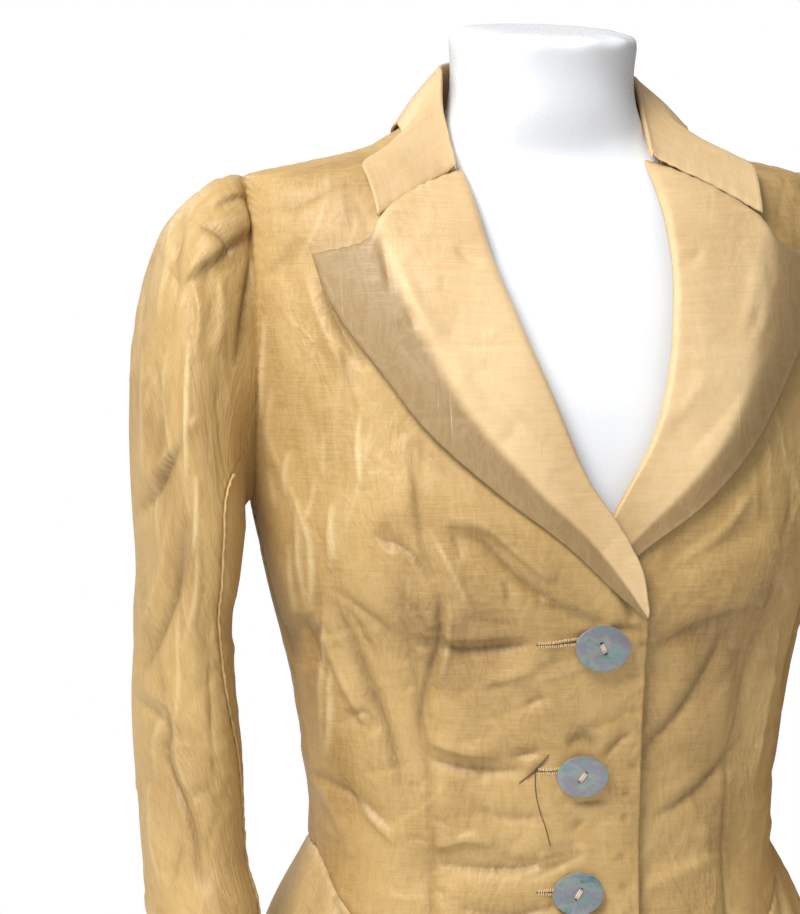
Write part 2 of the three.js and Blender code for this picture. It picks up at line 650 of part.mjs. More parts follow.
function sleeveSurface(side, isTop) {
  return (u, v) => {
    const fore = read(SLEEVE_SEAMS, "v", v, "fore");
    const hind = read(SLEEVE_SEAMS, "v", v, "hind");
    return sleevePoint(side, isTop ? mix(hind - 360, fore, u) : mix(fore, hind, u), v);
  };
}

function peplumSurface(side, fromTurn, toTurn, laps) {
  return (u, v) => {
    const turn = mix(fromTurn, toTurn, u);
    const seamZ = read(WAIST_SEAM, "turn", turn, "z");
    const drop = v * (seamZ - HEM_Z);
    const free = ease(FLUTE.calm_within, FLUTE.full_from, Math.abs(90 - turn));
    const spread = PEPLUM_SPREAD * (1 - Math.exp(-drop / PEPLUM_FALL)) * mix(0.3, 1, free);
    const flute = FLUTE.height * free * Math.sin(rad((turn / FLUTE.apart) * 360)) * ease(0, FLUTE.full_at, drop);
    const height = spread + flute + laps * lapped(turn);
    const point = bodyPoint(side, turn, seamZ, 0);
    const level = bodyPoint(side, turn, seamZ, 1).sub(point).setZ(0).normalize();
    point.addScaledVector(level, height);
    point.z -= drop;
    return point;
  };
}

function formGeometry() {
  const positions = [];
  const faces = [];
  const top = FORM[FORM.length - 1].z;
  const heights = FORM.map((row) => row.z);
  for (const z of heights)
    for (let i = 0; i < FORM_SIDES; i++) {
      const round = (i / FORM_SIDES) * 360;
      const turn = round <= 180 ? 90 - round : round - 270;
      const point = sectionPoint(FORM, round <= 180 ? LEFT : RIGHT, turn, z);
      point.z += NECK_SLANT * point.y * ease(NECK_SLANT_FROM, top, z);
      positions.push(...point.toArray());
    }
  const last = heights.length - 1;
  const at = (i, k) => k * FORM_SIDES + (i % FORM_SIDES);
  for (let k = 0; k < last; k++)
    for (let i = 0; i < FORM_SIDES; i++)
      faces.push(at(i, k), at(i + 1, k), at(i + 1, k + 1), at(i, k), at(i + 1, k + 1), at(i, k + 1));
  const base = positions.length / 3;
  positions.push(0, 0, 0);
  positions.push(0, FORM[last].middle, top + NECK_SLANT * FORM[last].middle);
  for (let i = 0; i < FORM_SIDES; i++) faces.push(at(i + 1, 0), at(i, 0), base, at(i, last), at(i + 1, last), base + 1);
  return solid(positions, faces);
}

// A thin oval disc with two holes
function buttonGeometry(wide, high) {
  const face = new THREE.Shape();
  face.absellipse(0, 0, wide / 2 - BUTTON.bevel, high / 2 - BUTTON.bevel, 0, 2 * Math.PI, false, 0);
  for (const sign of [-1, 1]) {
    const hole = new THREE.Path();
    const away = (sign * BUTTON.holes_apart) / 2;
    const angle = rad(BUTTON.hole_angle);
    hole.absarc(away * Math.cos(angle), away * Math.sin(angle), BUTTON.hole, 0, 2 * Math.PI, true);
    face.holes.push(hole);
  }
  const geometry = new THREE.ExtrudeGeometry(face, {
    depth: BUTTON.thick - 2 * BUTTON.bevel,
    bevelThickness: BUTTON.bevel,
    bevelSize: BUTTON.bevel,
    bevelOffset: 0,
    bevelSegments: 1,
    curveSegments: BUTTON.sides / 2,
  });
  geometry.translate(0, 0, BUTTON.bevel);
  return geometry;
}

const jacket = new THREE.Group();

function add(name, geometry, material) {
  const mesh = new THREE.Mesh(geometry, material);
  mesh.name = name;
  jacket.add(mesh);
  return mesh;
}

add("form_torso", formGeometry(), MATERIALS.form);

const SIDES = [
  { side: RIGHT, word: "right", laps: LAP },
  { side: LEFT, word: "left", laps: -LAP },
];
for (const { side, word, laps } of SIDES) {
  add("front_" + word, wall(14, 22, frontSurface(side)), MATERIALS.cloth);
  add("back_" + word, wall(8, 12, backSurface(side)), MATERIALS.cloth);
  add("lapel_" + word, wall(12, 7, lapelSurface(side)), MATERIALS.lapel);
  add("sleeve_top_" + word, wall(12, 18, sleeveSurface(side, true)), MATERIALS.cloth);
  add("sleeve_under_" + word, wall(6, 18, sleeveSurface(side, false)), MATERIALS.cloth);
  const edgeTurn = turnAt(FRONT_EDGE, FRONT_LINE_RIGHT[0].z);
  const front = peplumSurface(side, SIDE_SEAM_TURN, edgeTurn, laps);
  const back = peplumSurface(side, CENTRE_BACK_TURN, SIDE_SEAM_TURN, 0);
  add("peplum_front_" + word, wall(14, 4, front), MATERIALS.cloth);
  add("peplum_back_" + word, wall(13, 4, back), MATERIALS.cloth);
}
add("collar", wall(26, 9, collarSurface), MATERIALS.lapel);

for (const row of BUTTONS) {
  const turn = turnAt(row.x, row.z);
  const height = LAP + CLOTH / 2 + BUTTON.off;
  const seat = bodyPoint(RIGHT, turn, row.z, height);
  const out = bodyPoint(RIGHT, turn, row.z, height + 1).sub(seat).normalize();
  const button = add(row.name, buttonGeometry(row.wide, row.high), MATERIALS.shell);
  const across = UP.clone().cross(out).normalize();
  const upright = out.clone().cross(across);
  button.quaternion.setFromRotationMatrix(new THREE.Matrix4().makeBasis(across, upright, out));
  button.rotateX(rad(row.lean));
  button.rotateY(rad(row.tilt));
  button.rotateZ(rad(row.slant));
  button.position.copy(seat);
}

export default jacket;
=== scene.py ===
import math

import bmesh
import bpy
import numpy as np
from mathutils import Matrix, Vector


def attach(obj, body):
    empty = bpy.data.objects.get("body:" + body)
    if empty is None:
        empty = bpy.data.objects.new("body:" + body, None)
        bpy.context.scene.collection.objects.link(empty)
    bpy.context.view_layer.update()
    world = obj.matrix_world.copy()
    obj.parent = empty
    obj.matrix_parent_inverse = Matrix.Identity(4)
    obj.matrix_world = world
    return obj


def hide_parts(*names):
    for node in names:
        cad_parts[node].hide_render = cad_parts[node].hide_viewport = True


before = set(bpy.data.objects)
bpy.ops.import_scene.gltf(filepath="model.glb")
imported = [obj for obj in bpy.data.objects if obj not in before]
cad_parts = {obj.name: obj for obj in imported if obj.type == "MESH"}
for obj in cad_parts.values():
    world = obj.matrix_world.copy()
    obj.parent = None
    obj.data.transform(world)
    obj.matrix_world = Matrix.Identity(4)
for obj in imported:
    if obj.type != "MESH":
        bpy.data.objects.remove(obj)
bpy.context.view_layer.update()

MM = 0.001
# Cloth
CLOTH = 1.1  # thickness of the shells, a little less than the solids' walls
SEAM_GAP = 0.5  # between two pieces that are sewn together
LAP = 2.6  # how far each front moves off the body where the right one laps over the left
SQUARENESS = 0.9
RIGHT, LEFT = -1, 1


def table(columns, *rows):
    """A table with named columns, as an array for each name."""
    return dict(zip(columns.split(), np.array(rows, float).T))


BUST = dict(turn=38, z=455, rise=9, wide=21, high=42)

# Sections of the jacket's body. front and back are depths from the widest line, at y = middle.
BODY = table(
    "z half front back middle",
    (195, 147, 102, 102, 0),
    (250, 135, 96, 95, 0),
    (300, 124, 91, 88, 0),
    (320, 124, 91, 87, 0),
    (345, 126.5, 93, 88, 0),
    (392, 134, 98, 92, 0),
    (440, 146, 108, 98, 0),
    (484, 155, 109, 102, 2),
    (530, 161, 104, 105, 4),
    (580, 165, 92, 104, 6),
    (620, 165, 77, 98, 8),
    (640, 163, 64, 90, 8),
    (650, 159, 54, 82, 8),
    (658, 128, 45, 76, 8),
    (665, 96, 39, 70, 8),
    (673, 80, 33, 64, 8),
    (681, 68, 29, 59, 8),
    (692, 60, 26, 54, 8),
)

# Turn is the angle round the body: 0 at the side, 90 at the centre front, -90 at the centre back.
SIDE_SEAM_TURN = 3
CENTRE_BACK_TURN = -90
FRONT_EDGE = 25.5
WAIST_SEAM = table("turn z", (-95, 306), (-40, 304), (0, 301), (24, 277), (60, 240), (112, 207))
ARMHOLE = table(
    "way turn z",
    (0, 1, 650),
    (25, 8, 644),
    (50, 14, 626),
    (80, 16.5, 590),
    (110, 15, 555),
    (140, 9, 518),
    (165, 3, 491),
    (180, -2, 484),
    (195, -8, 490),
    (220, -15, 518),
    (250, -18, 560),
    (280, -17.5, 600),
    (310, -13, 630),
    (340, -5, 646),
    (360, 1, 650),
)
ARMPIT = dict(v=0.46, turn=-2, z=484)

# Centre boundary of a front: its straight edge, then the lapel's fold up to the neck. x is past the centre.
FRONT_LINE = {
    RIGHT: table(
        "v x z",
        (0, FRONT_EDGE, 208),
        (0.42, FRONT_EDGE, 412),
        (0.46, 24.5, 431),
        (0.51, 15.5, 457),
        (0.54, 7.5, 472),
        (0.59, -9.5, 497),
        (0.65, -24, 535),
        (0.71, -37.5, 571),
        (0.78, -49, 606),
        (0.85, -56.5, 640),
        (0.91, -62, 663),
        (1, -63, 688),
    ),
    LEFT: table(
        "v x z",
        (0, FRONT_EDGE, 208),
        (0.42, FRONT_EDGE, 402),
        (0.46, 24.5, 418),
        (0.51, 10, 443),
        (0.54, 0, 460),
        (0.59, -15, 487),
        (0.65, -37, 526),
        (0.71, -47.5, 569),
        (0.78, -51.5, 606),
        (0.85, -53, 640),
        (0.91, -57, 664),
        (1, -63, 688),
    ),
}
BACK_NECK = table(
    "v turn z",
    (0, CENTRE_BACK_TURN, 306),
    (ARMPIT["v"], CENTRE_BACK_TURN, 490),
    (0.86, CENTRE_BACK_TURN, 680),
    (1, 0, 688),
)

# Lapel: u goes from the break up to the seam with the collar, w from the fold to the outer edge.
LAPEL_FOLD = {
    RIGHT: table(
        "u x z",
        (0, 24.5, 431),
        (0.12, 15.5, 457),
        (0.19, 7.5, 472),
        (0.31, -9.5, 497),
        (0.48, -24, 535),
        (0.65, -37.5, 571),
        (0.83, -50.5, 612),
        (1, -57.5, 653),
    ),
    LEFT: table(
        "u x z",
        (0, 24.5, 418),
        (0.12, 10, 443),
        (0.19, 0, 460),
        (0.31, -15, 487),
        (0.48, -37, 526),
        (0.65, -48, 571),
        (0.83, -52, 611),
        (1, -50, 658),
    ),
}
LAPEL_EDGE = {
    RIGHT: table(
        "u x z",
        (0, 23.5, 427),
        (0.1, 5, 443),
        (0.2, -18, 464),
        (0.35, -53, 491),
        (0.5, -83, 519.5),
        (0.65, -104, 550),
        (0.8, -120, 574.5),
        (0.9, -127.5, 591),
        (1, -132, 609),
    ),
    LEFT: table(
        "u x z",
        (0, 23.5, 414),
        (0.1, 5, 434),
        (0.2, -18, 457),
        (0.35, -53, 482),
        (0.5, -83, 511),
        (0.65, -105, 543),
        (0.8, -121, 570),
        (0.9, -129, 588),
        (1, -133, 607),
    ),
}
LAPEL_TOP = {
    RIGHT: table(
        "w x z",
        (0, -57.5, 653),
        (0.17, -70.5, 645.5),
        (0.32, -82, 639),
        (0.47, -94, 631),
        (0.56, -100.5, 624.5),
        (0.66, -106, 615),
        (0.78, -113, 612),
        (1, -132, 609),
    ),
    LEFT: table(
        "w x z",
        (0, -50, 658),
        (0.17, -63.5, 649.5),
        (0.32, -77, 641.5),
        (0.47, -91.5, 632),
        (0.56, -99.5, 625.5),
        (0.66, -106, 615.5),
        (0.78, -113, 611),
        (1, -133, 607),
    ),
}
LAPEL_RISE = table(
    "w past rise",
    (0, 2.6, 0.4),
    (0.045, 3.2, 2.6),
    (0.135, 0, 3.8),
    (0.4, 0, 6.5),
    (0.66, 0, 9.5),
    (1, 0, 6),
)
LAPEL_FLAT = 2.5

# Collar: way goes from the centre back to the seam with the lapel along three lines.
COLLAR_LEAF = {
    RIGHT: table(
        "way turn z height",
        (0, -90, 666, 5),
        (0.2, -64, 666, 5),
        (0.4, -36, 672, 3.5),
        (0.55, -8, 677, 3),
        (0.66, 17, 673.5, 3.5),
        (0.75, 37, 664, 5),
        (0.83, 49, 654.5, 6.5),
        (0.91, 53, 642, 7),
        (1, 54.6, 626.5, 8),
    ),
    LEFT: table(
        "way turn z height",
        (0, -90, 666, 5),
        (0.2, -64, 666, 5),
        (0.4, -36, 668, 5),
        (0.55, -8, 673, 5),
        (0.66, 16, 673.5, 5.5),
        (0.75, 41, 665, 7),
        (0.83, 50, 655, 7.5),
        (0.91, 53.2, 642, 7.5),
        (1, 54.6, 628.5, 8),
    ),
}
COLLAR_FOLD = {
    RIGHT: table(
        "way x y z",
        (0, 0, 61, 717),
        (0.3, 30, 53, 715),
        (0.5, 47, 32, 711),
        (0.68, 53, 8, 706),
        (0.84, 58, -16, 683),
        (1, 58.5, -45, 657),
    ),
    LEFT: table(
        "way x y z",
        (0, 0, 61, 717),
        (0.3, 30, 53, 715),
        (0.5, 47, 32, 711),
        (0.68, 54, 8, 705),
        (0.84, 51.5, -15, 685),
        (1, 48.5, -40, 664),
    ),
}
COLLAR_FOOT = {
    RIGHT: table(
        "way x y z",
        (0, 0, 69, 684),
        (0.3, 36, 60, 688),
        (0.5, 55, 33, 690),
        (0.68, 61.5, 8, 691),
        (0.84, 63, -13, 676),
        (1, 62, -34, 662),
    ),
    LEFT: table(
        "way x y z",
        (0, 0, 69, 684),
        (0.3, 36, 60, 688),
        (0.5, 55, 33, 690),
        (0.68, 61.5, 8, 691),
        (0.84, 59.5, -13, 679),
        (1, 52, -30, 669),
    ),
}
COLLAR_ROLL = 3

# Sleeve below the armpit: horizontal sections about x, y. Angles round it: 0 outside, 90 front, 180 inside.
SLEEVE = table(
    "z x y half deep",
    (470, 188, 8, 27.5, 61),
    (445, 189, 9, 25.2, 58),
    (422, 191.9, 8, 23.7, 56),
    (388, 192.1, 5, 25.2, 55),
    (353, 190.8, 0, 26.6, 54),
    (302, 189.3, -10, 25.1, 52),
    (276, 187.5, -22, 28.2, 50),
    (200, 190.5, -40, 27, 46),
    (130, 192, -54, 27, 42),
    (70, 190, -64, 28, 39),
)
CAP_V = 0.34
SLEEVE_OFF_BODY = -0.7  # the sleeve's edge starts where the body's edge sinks into the seam
HEAD = dict(
    springs_top=42,
    springs_armpit=8,
    drop_top=28,
    drop_armpit=5,
    fullness=8,
    rise_top=150,
    rise_armpit=6,
    bulge=10,
)
SLEEVE_CENTRE = (192, -10)
SLEEVE_SEAMS = table(
    "v fore hind",
    (0, 124, 262),
    (0.1, 138, 262),
    (0.22, 126, 262),
    (CAP_V, 106, 262),
    (0.45, 118, 262),
    (0.55, 140, 260),
    (0.64, 150, 258),
    (1, 140, 255),
)
TUCKS = table("angle rise reach", (22, 3.5, 0.1), (45, 4.5, 0.16), (338, 3.5, 0.1), (315, 4.5, 0.16))
TUCK_WIDTH = 11

# Peplum
HEM_Z = 128
PEPLUM_SPREAD = 52
PEPLUM_FALL = 95
FLUTE = dict(height=6, apart=21, full_at=70, calm_within=13, full_from=27)

# Broad folds that the solids have too
FRONT_FOLDS = table(
    "x0 z0 x1 z1 depth wide",
    (-92, 414, -32, 414, -2.5, 10),
    (-80, 354, -30, 347, -2.5, 10),
    (-77, 300, -14, 306, -2.5, 10),
    (-74, 468, -42, 457, -3.5, 9),
    (-42, 457, -3, 437, -2.5, 9),
    (-99, 436, -89, 396, -2.5, 8),
    (-89, 396, -79, 240, -2, 8),
)
FOLD_END = 14


def mix(a, b, t):
    return a + (b - a) * t


def ease(a, b, t):
    s = np.clip((t - a) / (b - a), 0, 1)
    return s * s * (3 - 2 * s)


def bell(distance, width):
    return np.exp(-((distance / width) ** 2))


def power(value, exponent):
    return np.sign(value) * np.abs(value) ** exponent


def read(rows, key, at, column):
    """A column of a table between its rows, on a smooth curve that never overshoots a row."""
    k, y, at = rows[key], rows[column], np.asarray(at, float)
    if k[-1] < k[0]:
        k, at = -k, -at
    x = np.clip(at, k[0], k[-1])
    i = np.clip(np.searchsorted(k, x) - 1, 0, len(k) - 2)
    slope = np.diff(y) / np.diff(k)
    before, after = slope[:-1], slope[1:]
    bends = before * after > 0
    total = np.where(bends, before + after, 1)
    inner = np.where(bends, 2 * before * after / total, 0)
    tangent = np.concatenate([slope[:1], inner, slope[-1:]])
    h = k[i + 1] - k[i]
    t = (x - k[i]) / h
    t2, t3 = t**2, t**3
    rise = y[i] * (2 * t3 - 3 * t2 + 1) + y[i + 1] * (3 * t2 - 2 * t3)
    return rise + tangent[i] * h * (t3 - 2 * t2 + t) + tangent[i + 1] * h * (t3 - t2)


def section_point(side, turn, z):
    """A point of the body's sections, at a turn and a height. side is -1 on the wearer's right."""
    turn, z = np.broadcast_arrays(np.asarray(turn, float), np.asarray(z, float))
    across = power(np.cos(np.radians(turn)), SQUARENESS)
    along = power(np.sin(np.radians(turn)), SQUARENESS)
    depth = np.where(along > 0, read(BODY, "z", z, "front"), read(BODY, "z", z, "back"))
    off = np.abs(90 - np.abs(turn)) - BUST["turn"]
    mound = np.where(turn > 0, BUST["rise"] * bell(off, BUST["wide"]) * bell(z - BUST["z"], BUST["high"]), 0)
    y = read(BODY, "z", z, "middle") - depth * along - mound
    return np.stack([side * read(BODY, "z", z, "half") * across, y, z], -1)


STEP = 0.5


def unit(vectors):
    return vectors / np.linalg.norm(vectors, axis=-1, keepdims=True)


def body_normal(side, turn, z):
    around = section_point(side, turn + STEP, z) - section_point(side, turn - STEP, z)
    up = section_point(side, turn, z + STEP) - section_point(side, turn, z - STEP)
    return unit(side * np.cross(up, around))


def body_point(side, turn, z, height):
    """A point that stands off the body by a height, square to it."""
    height = np.asarray(height, float)[..., None]
    return section_point(side, turn, z) + body_normal(side, turn, z) * height


def turn_at(x, z):
    """The turn at which the section at z has this x on the wearer's right."""
    share = np.minimum(1, np.abs(x) / read(BODY, "z", z, "half"))
    turn = np.degrees(np.arccos(share ** (1 / SQUARENESS)))
    return np.where(np.asarray(x) > 0, 180 - turn, turn)


def lapped(turn):
    return ease(70, 82, turn)


def fold_relief(x, z):
    """The broad folds of the solids' fronts."""
    total = 0
    for x0, z0, x1, z1, depth, wide in zip(*FRONT_FOLDS.values()):
        dx, dz = x1 - x0, z1 - z0
        long = math.hypot(dx, dz)
        along = ((x - x0) * dx + (z - z0) * dz) / long
        off = ((z - z0) * dx - (x - x0) * dz) / long
        past = np.maximum(0, np.maximum(-along, along - long))
        total = total + depth * bell(off, wide) * bell(past, FOLD_END)
    return total


def panel_place(side, u, v, is_front):
    """Turn and height in a panel. u goes from its side to the centre, v from the waist to the shoulder."""
    u, v = np.broadcast_arrays(np.asarray(u, float), np.asarray(v, float))
    up_armhole = np.maximum(0, (v - ARMPIT["v"]) / (1 - ARMPIT["v"]))
    way = mix(180, 0 if is_front else 360, up_armhole)
    seam_z = read(WAIST_SEAM, "turn", SIDE_SEAM_TURN, "z")
    share = v / ARMPIT["v"]
    below = v < ARMPIT["v"]
    side_turn = np.where(below, mix(SIDE_SEAM_TURN, ARMPIT["turn"], share), read(ARMHOLE, "way", way, "turn"))
    side_z = np.where(below, mix(seam_z, ARMPIT["z"], share), read(ARMHOLE, "way", way, "z"))
    if is_front:
        line = FRONT_LINE[side]
        centre_z = read(line, "v", v, "z")
        centre_turn, bottom_z = turn_at(read(line, "v", v, "x"), centre_z), line["z"][0]
    else:
        centre_turn, centre_z = read(BACK_NECK, "v", v, "turn"), read(BACK_NECK, "v", v, "z")
        bottom_z = BACK_NECK["z"][0]
    turn = mix(side_turn, centre_turn, u)
    bottom = mix(seam_z, bottom_z, u)
    z = mix(side_z, centre_z, u) + (1 - v) ** 3 * (read(WAIST_SEAM, "turn", turn, "z") - bottom)
    return turn, z


def sleeve_section(side, angle, z):
    angle, z = np.broadcast_arrays(np.asarray(angle, float), np.asarray(z, float))
    across = read(SLEEVE, "z", z, "half") * np.cos(np.radians(angle))
    deep = read(SLEEVE, "z", z, "deep") * np.sin(np.radians(angle))
    return np.stack([side * (read(SLEEVE, "z", z, "x") + across), read(SLEEVE, "z", z, "y") - deep, z], -1)


def sleeve_head(side, angle, v):
    """The sleeve's head springs out of the armhole and turns down into the first section of the arm."""
    angle, v = np.broadcast_arrays(np.asarray(angle, float), np.asarray(v, float))
    way = angle % 360
    turn, z = read(ARMHOLE, "way", way, "turn"), read(ARMHOLE, "way", way, "z")
    start = body_point(side, turn, z, np.full_like(turn, SLEEVE_OFF_BODY))
    out = body_normal(side, turn, z)
    top = (1 + np.cos(np.radians(angle))) / 2
    springs = start + out * mix(HEAD["springs_armpit"], HEAD["springs_top"], top**1.2)[..., None]
    springs[..., 2] -= mix(HEAD["drop_armpit"], HEAD["drop_top"], top**2)
    springs[..., 1] -= HEAD["fullness"] * np.sin(np.radians(angle))
    end = sleeve_section(side, angle, SLEEVE["z"][0])
    before = end.copy()
    before[..., 2] += mix(HEAD["rise_armpit"], HEAD["rise_top"], top)
    before[..., 0] += side * HEAD["bulge"] * top
    t = np.clip(v / CAP_V, 0, 1)[..., None]
    return (1 - t) ** 3 * start + 3 * (1 - t) ** 2 * t * springs + 3 * (1 - t) * t**2 * before + t**3 * end


def sleeve_point(side, angle, v):
    below = np.clip((v - CAP_V) / (1 - CAP_V), 0, 1)
    arm = sleeve_section(side, angle, mix(SLEEVE["z"][0], SLEEVE["z"][-1], below))
    return np.where((v >= CAP_V)[..., None], arm, sleeve_head(side, angle, v))


# Creases. A path's points are (across, z) on the piece. deep is the height of its ridge (+) or trough (-),
# wide its half width, and pale how strong the painted highlight along its crest is. With a step it is a lap:
# a sharp drop on the path's right, with painted shadow at its foot. dark is how strong the painted shade is,
# in a trough or at a lap's foot; without a value of its own it follows a trough's depth.
CREST_HIGHLIGHT_WIDE = 1.1  # half width of the painted highlight along a crest
CREST_ROUND = 0.9  # radius of a crest
SHADE_DEEP, SHADE_WIDE = 3.2, 1.7  # depth at which a trough's painted shade is darkest, and how wide that painted shade is
STEEP, GENTLE = 0.42, 0.95  # how far the two sides of a crease reach, in its widths
LAP_SHADE = 1.15  # how dark the painted shadow at a lap's foot is
DEEPEST = 5.5  # where a trough levels out
PATH_STEPS = 6


def crease(path, deep, wide, pale=0.0, step=0.0, dark=None):
    return dict(path=path, deep=deep, wide=wide, pale=pale, step=step, dark=dark)


def smooth_path(points):
    """The points of a crease, with a Catmull-Rom curve between them."""
    p = np.array(points, float)
    p = np.vstack([2 * p[0] - p[1], p, 2 * p[-1] - p[-2]])
    t = np.linspace(0, 1, PATH_STEPS, endpoint=False)[:, None]
    spans = []
    for a, b, c, d in zip(p, p[1:], p[2:], p[3:]):
        spans.append(b + 0.5 * t * (c - a + t * (2 * a - 5 * b + 4 * c - d + t * (3 * (b - c) + d - a))))
    return np.vstack(spans + [p[-2:-1]])


def beside(path, x, z):
    """The signed distance to a path, and the share of its length that lies behind the nearest place."""
    best = np.full(x.shape, np.inf)
    off, share = np.zeros(x.shape), np.zeros(x.shape)
    lengths = np.linalg.norm(np.diff(path, axis=0), axis=1)
    behind = np.concatenate([[0], np.cumsum(lengths)])
    for a, b, long, before in zip(path, path[1:], lengths, behind):
        if long == 0:
            continue
        (ax, az), (dx, dz) = a, (b - a) / long
        along = np.clip((x - ax) * dx + (z - az) * dz, 0, long)
        far = np.hypot(x - ax - along * dx, z - az - along * dz)
        side = np.sign((x - ax) * dz - (z - az) * dx)
        nearer = far < best
        best = np.where(nearer, far, best)
        off = np.where(nearer, far * side, off)
        share = np.where(nearer, (before + along) / behind[-1], share)
    return off, share


def creased(creases, x, z):
    """Height in mm, painted highlight on crests, and painted shade in troughs and at laps' feet, that creases
    give the places (x, z).
    """
    height, pale, dark = np.zeros(x.shape), np.zeros(x.shape), np.zeros(x.shape)
    for row in creases:
        path = smooth_path(row["path"])
        reach = 3 * row["wide"]
        low, high = path.min(0) - reach, path.max(0) + reach
        near = (x > low[0]) & (x < high[0]) & (z > low[1]) & (z < high[1])
        if not near.any():
            continue
        off, share = beside(path, x[near], z[near])
        ends = np.sin(np.pi * share) ** 0.6
        away = np.hypot(off, CREST_ROUND) - CREST_ROUND
        if row["step"]:
            shape = 0.5 * (1 + np.tanh(-off / row["step"])) * bell(np.minimum(off, 0), row["wide"])
            depth = LAP_SHADE
            away = away + 2 * np.maximum(0, -off)
        else:
            shape = np.exp(-away / (row["wide"] * np.where(off > 0, STEEP, GENTLE)))
            depth = np.clip((-row["deep"] - 0.6) / SHADE_DEEP, 0, 1)
        depth = depth if row["dark"] is None else row["dark"]
        height[near] += row["deep"] * ends * shape
        # Painted highlight along the crest; painted shade in the trough, and painted shadow at a lap's foot
        pale[near] = np.maximum(pale[near], row["pale"] * ends * bell(off, CREST_HIGHLIGHT_WIDE))
        dark[near] = np.maximum(dark[near], depth * ends * np.exp(-away / SHADE_WIDE))
    return height, pale, dark


def crinkles(seed, count, across, up, lean, spread, long, deep, pale=0.0):
    """Small random creases in a field: lean is their angle from level, long and deep their least and most,
    and pale the most painted highlight on a ridge's crest.
    """
    dice = np.random.default_rng(seed)
    made = []
    for _ in range(count):
        x, z = dice.uniform(*across), dice.uniform(*up)
        angle = math.radians(dice.normal(lean, spread))
        reach = dice.uniform(*long) / 2
        bend = dice.normal(0, 0.16) * reach
        dx, dz = reach * math.cos(angle), reach * math.sin(angle)
        middle = (x - bend * math.sin(angle), z + bend * math.cos(angle))
        height = dice.choice([-1, 1], p=[0.6, 0.4]) * dice.uniform(*deep)
        wide = 1.1 + 0.06 * reach + 1.6 * dice.random()
        crest = pale * dice.random() ** 2 if height > 0 else 0.0
        made.append(crease([(x - dx, z - dz), middle, (x + dx, z + dz)], height, wide, crest))
    return made
